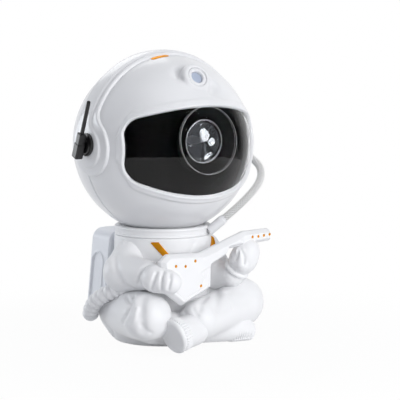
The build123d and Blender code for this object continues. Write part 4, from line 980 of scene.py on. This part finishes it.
def suit_body(p):
    left_leg = merge(limb(p, LEFT_HIP, LEFT_KNEE), limb(p, LEFT_SHIN, LEFT_ANKLE), 13.0)
    body = merge(torso(p), np.minimum(left_leg, limb(p, RIGHT_HIP, RIGHT_KNEE)), 4.0)
    body = merge(body, limb(p, RIGHT_SHIN, RIGHT_ANKLE), 3.0)
    body = cut(body, limb(p, *UNDER_KNEE), 5.0)
    return np.maximum(folded(body, p, BODY_FOLDS), FLOOR_GAP - p[:, 2])


def right_sleeve(p):
    arm = merge(limb(p, RIGHT_SHOULDER, RIGHT_ELBOW), limb(p, RIGHT_ELBOW, RIGHT_WRIST), 3.0)
    return folded(arm, p, SLEEVE_FOLDS)


def left_sleeve(p):
    return merge(limb(p, LEFT_SHOULDER, LEFT_ELBOW), limb(p, LEFT_ELBOW, LEFT_WRIST), 3.0)


# ================================================================== figure's fittings
GUITAR_PLACE = np.array((-10.0, -55.0, 0.0))
GUITAR_YAW = math.radians(8.0)
GUITAR_ALONG = np.array((math.cos(GUITAR_YAW), math.sin(GUITAR_YAW), 0.0))
GUITAR_AHEAD = np.array((math.sin(GUITAR_YAW), -math.cos(GUITAR_YAW), 0.0))
GUITAR_HALF = 3.25
GUITAR_CORNER_R = 2.0
GUITAR_BEVEL, GUITAR_BEVEL_DEPTH = 2.6, 3.6
GUITAR_OUTLINE = [
    (-31, 70), (-24, 74.5), (-9, 73.8), (7, 72.6), (18, 75.5), (52, 84.9), (79, 84.9), (80.5, 75.5),
    (53, 74.4), (36, 73), (33, 68.5), (18, 62.5), (17.5, 46), (-11, 35.5), (-25, 46),
]
NECK_BAR = ((0.0, 62.0), (50.0, 80.5))
GUITAR_GLYPH = [(8.6, 59.8), (7.0, 58.2), (7.2, 56.6), (8.8, 54.8), (9.0, 53.2), (7.6, 51.6)]
BODY_STUDS = [(-18.8, 65.9), (-9.5, 64.9), (0.1, 67.9), (5.7, 48.9)]
GUITAR_SLOT = [(13.0, 47.0), (13.0, 61.0)]
HEADSTOCK_STUDS = [(58.3, 80.4), (64.4, 80.3), (70.3, 80.5), (76.4, 80.8)]


GUITAR_CORE = shrunk(GUITAR_OUTLINE, GUITAR_CORNER_R)


def groove(along, rise, points):
    return 0.45 * np.exp(-((line_flat(along, rise, points) / 0.45) ** 2))


def guitar(p):
    q = p - GUITAR_PLACE
    along, rise, ahead = q @ GUITAR_ALONG, q[:, 2], q @ GUITAR_AHEAD
    edge = outline_flat(along, rise, GUITAR_CORE) - GUITAR_CORNER_R
    bar = line_flat(along, rise, NECK_BAR) - 4.6
    height = 0.9 * ramp_step(bar, 0.5) * (1 - ramp_step(along - 8, 6.0)) * (1 - ramp_step(47 - along, 2.0))
    height = height - 0.35 * np.exp(-(((edge + 4.3) / 0.45) ** 2)) * ramp_step(rise - 61.5, 1.0)
    height = height - groove(along, rise, GUITAR_GLYPH) - groove(along, rise, GUITAR_SLOT)
    front = ahead - GUITAR_HALF - height
    slope = GUITAR_BEVEL_DEPTH / GUITAR_BEVEL
    bevel = (ahead - GUITAR_HALF + slope * (edge + GUITAR_BEVEL)) / math.hypot(1, slope)
    front = keep_both(front, bevel, 0.3)
    return round_keep(edge, np.maximum(front, -ahead - GUITAR_HALF), 0.4)


STUD = [(-0.5, 0.01), (0.6, 0.01), (0.56, 0.45), (0.36, 0.85), (0.05, 1.12), (-0.1, 1.2), (-0.5, 1.2)]
COLLAR = [
    (76.2, 31.6), (88.3, 31.6), (88.9, 32.4), (88.9, 35.6), (88.3, 36.6), (87.2, 36.8), (86.6, 36.2),
    (83.6, 35.9), (83.1, 36.6), (82.2, 36.7), (81.7, 35.3), (76.2, 35.2),
]


def ring_about(p, at, way, ring_r, tube_r):
    """A round bead, bent into a ring about an axis."""
    way = unit(way)
    q = p - at
    along = q @ way
    return np.hypot(length(q - along[:, None] * way) - ring_r, along) - tube_r


def right_glove(p):
    return merge(ball(p, *RIGHT_PALM), ball(p, *RIGHT_KNUCKLES), 7.0) + folds(p, HAND_FOLDS)


def left_glove(p):
    hand = merge(ball(p, *LEFT_PALM), ball(p, *LEFT_KNUCKLES), 7.0)
    thumb = limb(p, ((38.0, -50.5, 60.0), 5.0), ((37.5, -49.5, 70.0), 4.2))
    hand = merge(hand, thumb, 1.2) + folds(p, MITTEN_FOLDS)
    return merge(hand, ring_about(p, (40.5, -40, 55.5), (3.5, -8, 11), 8.6, 1.9), 1.0)


SOLE_AT = np.array((-34.0, -63.0, 16.0))
SOLE_FACING = unit((-0.95, -0.1, -0.3))


def left_boot(p):
    upper = limb(p, LEFT_HEEL, LEFT_TOE)
    out = (p - SOLE_AT) @ SOLE_FACING
    q = p - SOLE_AT - out[:, None] * SOLE_FACING
    turn = np.arctan2(q[:, 1], q[:, 2])
    ribs = 0.45 * np.cos(turn * 38) * ramp_step(-out - 9.5, 1.0) * (1 - ramp_step(-out - 4.4, 0.5))
    sole = round_keep(upper - 0.9, np.maximum(out, -out - 3.2), 1.5)
    welt = 0.5 * np.exp(-(((out + 3.7) / 0.5) ** 2))
    boot = merge(np.maximum(upper + ribs + welt, out + 1.0), sole, 0.5)
    return np.maximum(boot, FLOOR_GAP - p[:, 2])


def right_boot(p):
    upper = limb(p, RIGHT_HEEL, RIGHT_TOE)
    sole = round_keep(upper - 1.0, p[:, 2] - 3.4, 1.0)
    boot = merge(upper, sole, 0.6)
    turn = np.arctan2(p[:, 1] + 40.0, p[:, 0] - 38.0)
    ribs = 0.5 * np.cos(turn * 34) * ramp_step(p[:, 2] - 8, 2.5) * (1 - ramp_step(p[:, 2] - 3.2, 0.8))
    return np.maximum(boot + ribs * ramp_step(p[:, 1] + 38, 4.0), FLOOR_GAP - p[:, 2])


PACK_FRONT, PACK_REAR, PACK_FOOT_Z, PACK_TOP_Z = 31.0, 60.0, 14.0, 82.0
PACK_TAPER_COS = 0.995


def backpack(p):
    x, y, z = np.abs(p[:, 0]), p[:, 1], p[:, 2]
    half = 35.0 - 7.0 * (z - PACK_FOOT_Z) / (PACK_TOP_Z - PACK_FOOT_Z)
    flat = round_keep((x - half) * PACK_TAPER_COS, np.abs(z - 48) - 34, 8.0)
    slab = round_keep(flat, y - PACK_REAR, 5.0)
    slab = round_keep(slab, PACK_FRONT - y, 1.0)
    oval = np.hypot(y - 45.5, np.maximum(np.abs(z - 41) - 15, 0)) - 9
    at_side = ramp_step(28 - x, 2.0)
    raised = 0.9 * np.exp(-(((oval + 0.8) / 0.8) ** 2)) - 0.6 * ramp_step(oval + 1.5, 0.7)
    at_back = ramp_step(PACK_REAR - 5 - y, 2.0)
    frame_flat = round_keep(x - 21, np.abs(z - 50) - 22, 6.0)
    back = 0.5 * np.exp(-((frame_flat / 0.9) ** 2))
    for rise in (36, 42, 48):
        slot = np.maximum(x - 12, np.abs(z - rise) - 0.9)
        back = back - 0.8 * ramp_step(slot, 0.5)
    return slab - raised * at_side - back * at_back


def arc_through(start, middle, end, count):
    """Points along the arc through three places."""
    start, middle, end = (np.array(place, float) for place in (start, middle, end))
    a, b = middle - start, end - start
    cross = np.cross(a, b)
    centre = start + np.cross((a @ a) * b - (b @ b) * a, cross) / (2 * (cross @ cross))
    radius, first = length(start - centre), unit(start - centre)
    aside = np.cross(unit(cross), first)
    sweep = math.atan2((end - centre) @ aside, (end - centre) @ first) % (2 * math.pi)
    turns = np.linspace(0, sweep, count)[:, None]
    return centre + radius * (np.cos(turns) * first + np.sin(turns) * aside)


STRIPES = [
    [(-27.3, -24.7, 79.3), (-22.6, -29.0, 79.5), (-15.8, -33.6, 69.8), (-20.3, -31.0, 69.1)],
    [(31.6, -20.0, 79.3), (36.7, -13.6, 78.0), (31.2, -21.1, 66.5), (20.4, -31.8, 68.1)],
]


def chest_stripes(p):
    out = np.minimum(torso(p), left_sleeve(p))
    nearest = np.full(len(p), 1e9)
    for corners in STRIPES:
        flat = [(math.atan2(x, -y) * TRUNK_R, z) for x, y, z in corners]
        nearest = np.minimum(nearest, outline_flat(round_trunk(p), p[:, 2], shrunk(flat, 0.5)) - 0.5)
    return round_keep(nearest, np.maximum(out - 0.55, -out - 0.8), 0.3)


def crest(p):
    along = p[:, 0] + 11.0
    flat = np.hypot(along - np.clip(along, -5.7, 5.7), p[:, 1] + 13.6) - 1.8
    skin = length(p) - HELMET_R - 0.45
    return np.maximum(round_keep(flat, np.maximum(skin, -skin - 1.2), 0.3), -p[:, 2])


# ================================================================== pieces
SUIT_HOSE_RIBS, SUIT_HOSE_ROWS = 9, 181


def build_guitar_studs():
    studs = []
    for along, rise in BODY_STUDS + HEADSTOCK_STUDS:
        place = GUITAR_PLACE + along * GUITAR_ALONG + (0, 0, rise) + GUITAR_HALF * GUITAR_AHEAD
        studs.append(lathe(STUD, place, GUITAR_AHEAD, 24))
    on_figure("guitar_studs_visual", join_parts(studs), "guitar_studs", slot="gold_trim")


def build_suit_hose():
    line = arc_through((-50, 24, 19), (-53, 3, 37), (-42, -17, 45), SUIT_HOSE_ROWS)
    turns = np.linspace(0, SUIT_HOSE_RIBS, SUIT_HOSE_ROWS) * 2 * math.pi
    radii = 4.9 + 1.3 * (0.5 - 0.5 * np.cos(turns)) ** 0.6
    on_figure("suit_hose_visual", tube(line, radii, 48), "suit_hose")


suit = sculpt(suit_body, (-66, -78, -2), (74, 45, 86), SUIT_STEP * 0.9)
on_figure("suit_body", suit, "body_front_shell", "body_rear_shell")
on_figure("right_sleeve", sculpt(right_sleeve, (-62, -56, 38), (-16, 16, 84), SUIT_STEP), "right_arm")
on_figure("left_sleeve", sculpt(left_sleeve, (18, -50, 34), (54, 10, 84), SUIT_STEP), "left_arm")
on_figure("guitar_visual", sculpt(guitar, (-44, -68, 33), (74, -40, 88), TRIM_STEP), "guitar")
build_guitar_studs()
on_figure("collar_visual", turned(COLLAR, 0.5, (0, 0, 0), (0, 0, 1), 160), "neck_collar")
gloves = [
    sculpt(right_glove, (-56, -76, 42), (-22, -38, 70), TRIM_STEP * 1.6),
    sculpt(left_glove, (26, -62, 42), (60, -26, 84), TRIM_STEP * 1.6),
]
on_figure("gloves_visual", join_parts(gloves), "gloves")
boots = [
    sculpt(left_boot, (-48, -78, -1), (4, -42, 32), TRIM_STEP * 1.4),
    sculpt(right_boot, (24, -60, -1), (68, -26, 26), TRIM_STEP * 1.4),
]
on_figure("boots_visual", join_parts(boots), "boots")
pack = sculpt(backpack, (-40, 28, 10), (40, 64, 86), SUIT_STEP * 0.85)
on_figure("backpack_visual", pack, "backpack", material=PACK_WHITE)
build_suit_hose()
stripes = sculpt(chest_stripes, (-34, -40, 64), (38, -10, 84), TRIM_STEP * 0.9)
on_figure("chest_stripes_visual", stripes, "chest_stripes", slot="gold_trim")
inlay = sculpt_head(crest, (-22, -20, 60), (0, -8, 72), TINY_STEP)
on_head("crest_visual", inlay, "crest_inlay", slot="gold_trim")
reach = HELMET_R + 4
front = sculpt_head(helmet_front, (-reach, -reach, -reach), (reach, 1, reach + 4), FINE)
on_head("helmet_front", front, "helmet_front_shell")
rear = sculpt_head(helmet_rear, (-reach, -1, -reach), (reach, reach, reach), FINE)
on_head("helmet_rear", rear, "helmet_rear_shell")
reach = HELMET_R + 5
band = sculpt_head(headband, (-reach, -32, -25), (reach, 24, reach), FINE * 0.9)
on_head("headband_visual", band, "headband")
build_visor()
build_lens()
on_head("bezel_visual", turned(BEZEL, 0.35, HEAD + POD_FACE, POD_AXIS), "laser_bezel")
window = turned(WINDOW, 0.15, HEAD + POD_FACE, POD_AXIS)
on_head("window_visual", window, "laser_window", slot="window_blue")
build_antenna()
build_hose()
build_sockets()

# ================================================================== floor and light
FLOOR_NEAR, FLOOR_FAR = 0.10, 0.30  # metres from the object's middle
FLOOR_NEAR_WHITE = 0.96
WHITE, BLACK = (1, 1, 1, 1), (0, 0, 0, 1)


def maths(tree, operation, *values):
    node = new_node(tree, "Math")
    node.operation = operation
    for value, socket in zip(values, node.inputs):
        tree.links.new(value, socket)
    return node.outputs[0]


def mix_shaders(tree, share, first, second, target):
    """Feeds the target with the second shader by its share and with the first by the rest."""
    mix = new_node(tree, "MixShader")
    for value, socket in zip((share, first.outputs[0], second.outputs[0]), mix.inputs):
        tree.links.new(value, socket)
    tree.links.new(mix.outputs[0], target.inputs["Surface"])


def seen_rays(tree):
    """1 for rays from the camera, in reflections and through clear pieces, 0 for the rest."""
    path = new_node(tree, "LightPath").outputs
    seen = maths(tree, "MAXIMUM", path["Is Camera Ray"], path["Is Glossy Ray"])
    return maths(tree, "MAXIMUM", seen, path["Is Transmission Ray"])


def make_world():
    world = bpy.data.worlds.new("studio")
    bpy.context.scene.world = world
    world.use_nodes = True
    tree = world.node_tree
    tree.nodes.clear()
    white = new_node(tree, "Background", Color=WHITE, Strength=1.0)
    soft = new_node(tree, "Background", Color=(0.93, 0.95, 1.0, 1), Strength=0.5)
    mix_shaders(tree, seen_rays(tree), soft, white, new_node(tree, "OutputWorld"))


def make_floor():
    """A pale floor that melts into the white surroundings away from the object."""
    mesh = bpy.data.meshes.new("floor")
    mesh.from_pydata([(-9, -9, 0), (9, -9, 0), (9, 9, 0), (-9, 9, 0)], [], [(0, 1, 2, 3)])
    material, tree, shader = new_material("floor_pale")
    set_inputs(shader, Base_Color=(0.72, 0.72, 0.73, 1), Roughness=0.9, Specular_IOR_Level=0)
    away = new_node(tree, "VectorMath")
    away.operation = "LENGTH"
    tree.links.new(new_node(tree, "TexCoord").outputs["Object"], away.inputs[0])
    fade = new_node(tree, "MapRange", From_Min=FLOOR_NEAR, From_Max=FLOOR_FAR, To_Min=FLOOR_NEAR_WHITE)
    fade.interpolation_type = "SMOOTHSTEP"
    tree.links.new(away.outputs["Value"], fade.inputs["Value"])
    share = maths(tree, "MULTIPLY", fade.outputs["Result"], seen_rays(tree))
    white = new_node(tree, "Emission", Color=WHITE)
    mix_shaders(tree, share, shader, white, tree.nodes["Material Output"])
    mesh.materials.append(material)
    add_object("floor", mesh)


def area_lamp(name, azimuth, elevation, distance, size, power, colour=(1, 1, 1)):
    data = bpy.data.lights.new(name, "AREA")
    data.shape = "RECTANGLE"
    data.size, data.size_y = size
    data.energy = power
    data.color = colour
    lamp = add_object(name, data)
    way = compass(azimuth, elevation)
    lamp.location = Vector((0, 0, 0.11)) + way * distance
    aim(lamp, -way, "-Z")


def make_card(name, vertices, faces, hidden_from, **values):
    """A black card that the named kinds of ray don't meet."""
    mesh = bpy.data.meshes.new(name)
    mesh.from_pydata(vertices, [], faces)
    card = add_object(name, mesh)
    material, tree, shader = new_material(name)
    set_inputs(shader, Base_Color=BLACK, **values)
    mesh.materials.append(material)
    for ray in hidden_from:
        setattr(card, "visible_" + ray, False)
    return card, tree, shader


def make_backdrop(name, profile, first, last, soft, count=72):
    """A curved card, of (radius, height) corners in metres, that only reflections see.

    Its two upright edges fade out over soft degrees.
    """
    vertices, faces, cover = [], [], []
    rows = len(profile)
    for column in range(count + 1):
        azimuth = first + (last - first) * column / count
        share = min(1.0, (azimuth - first) / soft, (last - azimuth) / soft)
        turn = math.radians(azimuth)
        for radius, height in profile:
            vertices.append((math.sin(turn) * radius, -math.cos(turn) * radius, height))
            cover.append(share)
    for low in range(count * rows):
        if low % rows < rows - 1:
            faces.append((low, low + rows, low + rows + 1, low + 1))
    hidden_from = ("camera", "diffuse", "shadow", "transmission")
    card, tree, shader = make_card(name, vertices, faces, hidden_from, Specular_IOR_Level=0)
    card.data.attributes.new("cover", "FLOAT", "POINT").data.foreach_set("value", cover)
    edge = new_node(tree, "Attribute")
    edge.attribute_name = "cover"
    tree.links.new(edge.outputs["Fac"], shader.inputs["Alpha"])


def make_glint(name, azimuth, elevation, distance, size):
    """A small bright card that only shows through the visor, in the dome's reflections."""
    corners = 32
    turns = np.arange(corners) * 2 * math.pi / corners
    rim = [(math.cos(turn) * size[0] / 2, math.sin(turn) * size[1] / 2, 0) for turn in turns]
    glint, _, _ = make_card(
        name, rim, [tuple(range(corners))], ("camera", "diffuse", "glossy", "shadow"),
        Emission_Color=(1, 0.98, 0.95, 1), Emission_Strength=GLINT_STRENGTH,
    )
    way = compass(azimuth, elevation)
    glint.location = Vector((0, -0.063, 0.155)) + way * distance
    aim(glint, way, "Z")


GLINT_STRENGTH = 110

make_world()
make_floor()
make_backdrop("black_card", [(0.66, 0.004), (0.68, 0.03), (0.68, 1.3)], -118, 97, 18)
area_lamp("key", 8, 17, 1.5, (1.0, 1.0), 16.5)
area_lamp("left", -145, 6, 1.3, (0.6, 0.6), 5, (0.92, 0.96, 1.0))
area_lamp("rear", 165, 40, 1.5, (0.8, 0.8), 3)
make_glint("glint_high", 14, 27, 0.6, (0.46, 0.60))
make_glint("glint_low", 45, -5, 0.5, (0.34, 0.25))
make_glint("glint_dot", -57, -21.5, 0.3, (0.03, 0.03))
make_glint("glint_floor", 70, -58, 0.17, (0.08, 0.13))
make_glint("glint_top", 66, 72, 0.6, (0.3, 0.05))

bpy.context.scene.view_settings.view_transform = "Standard"
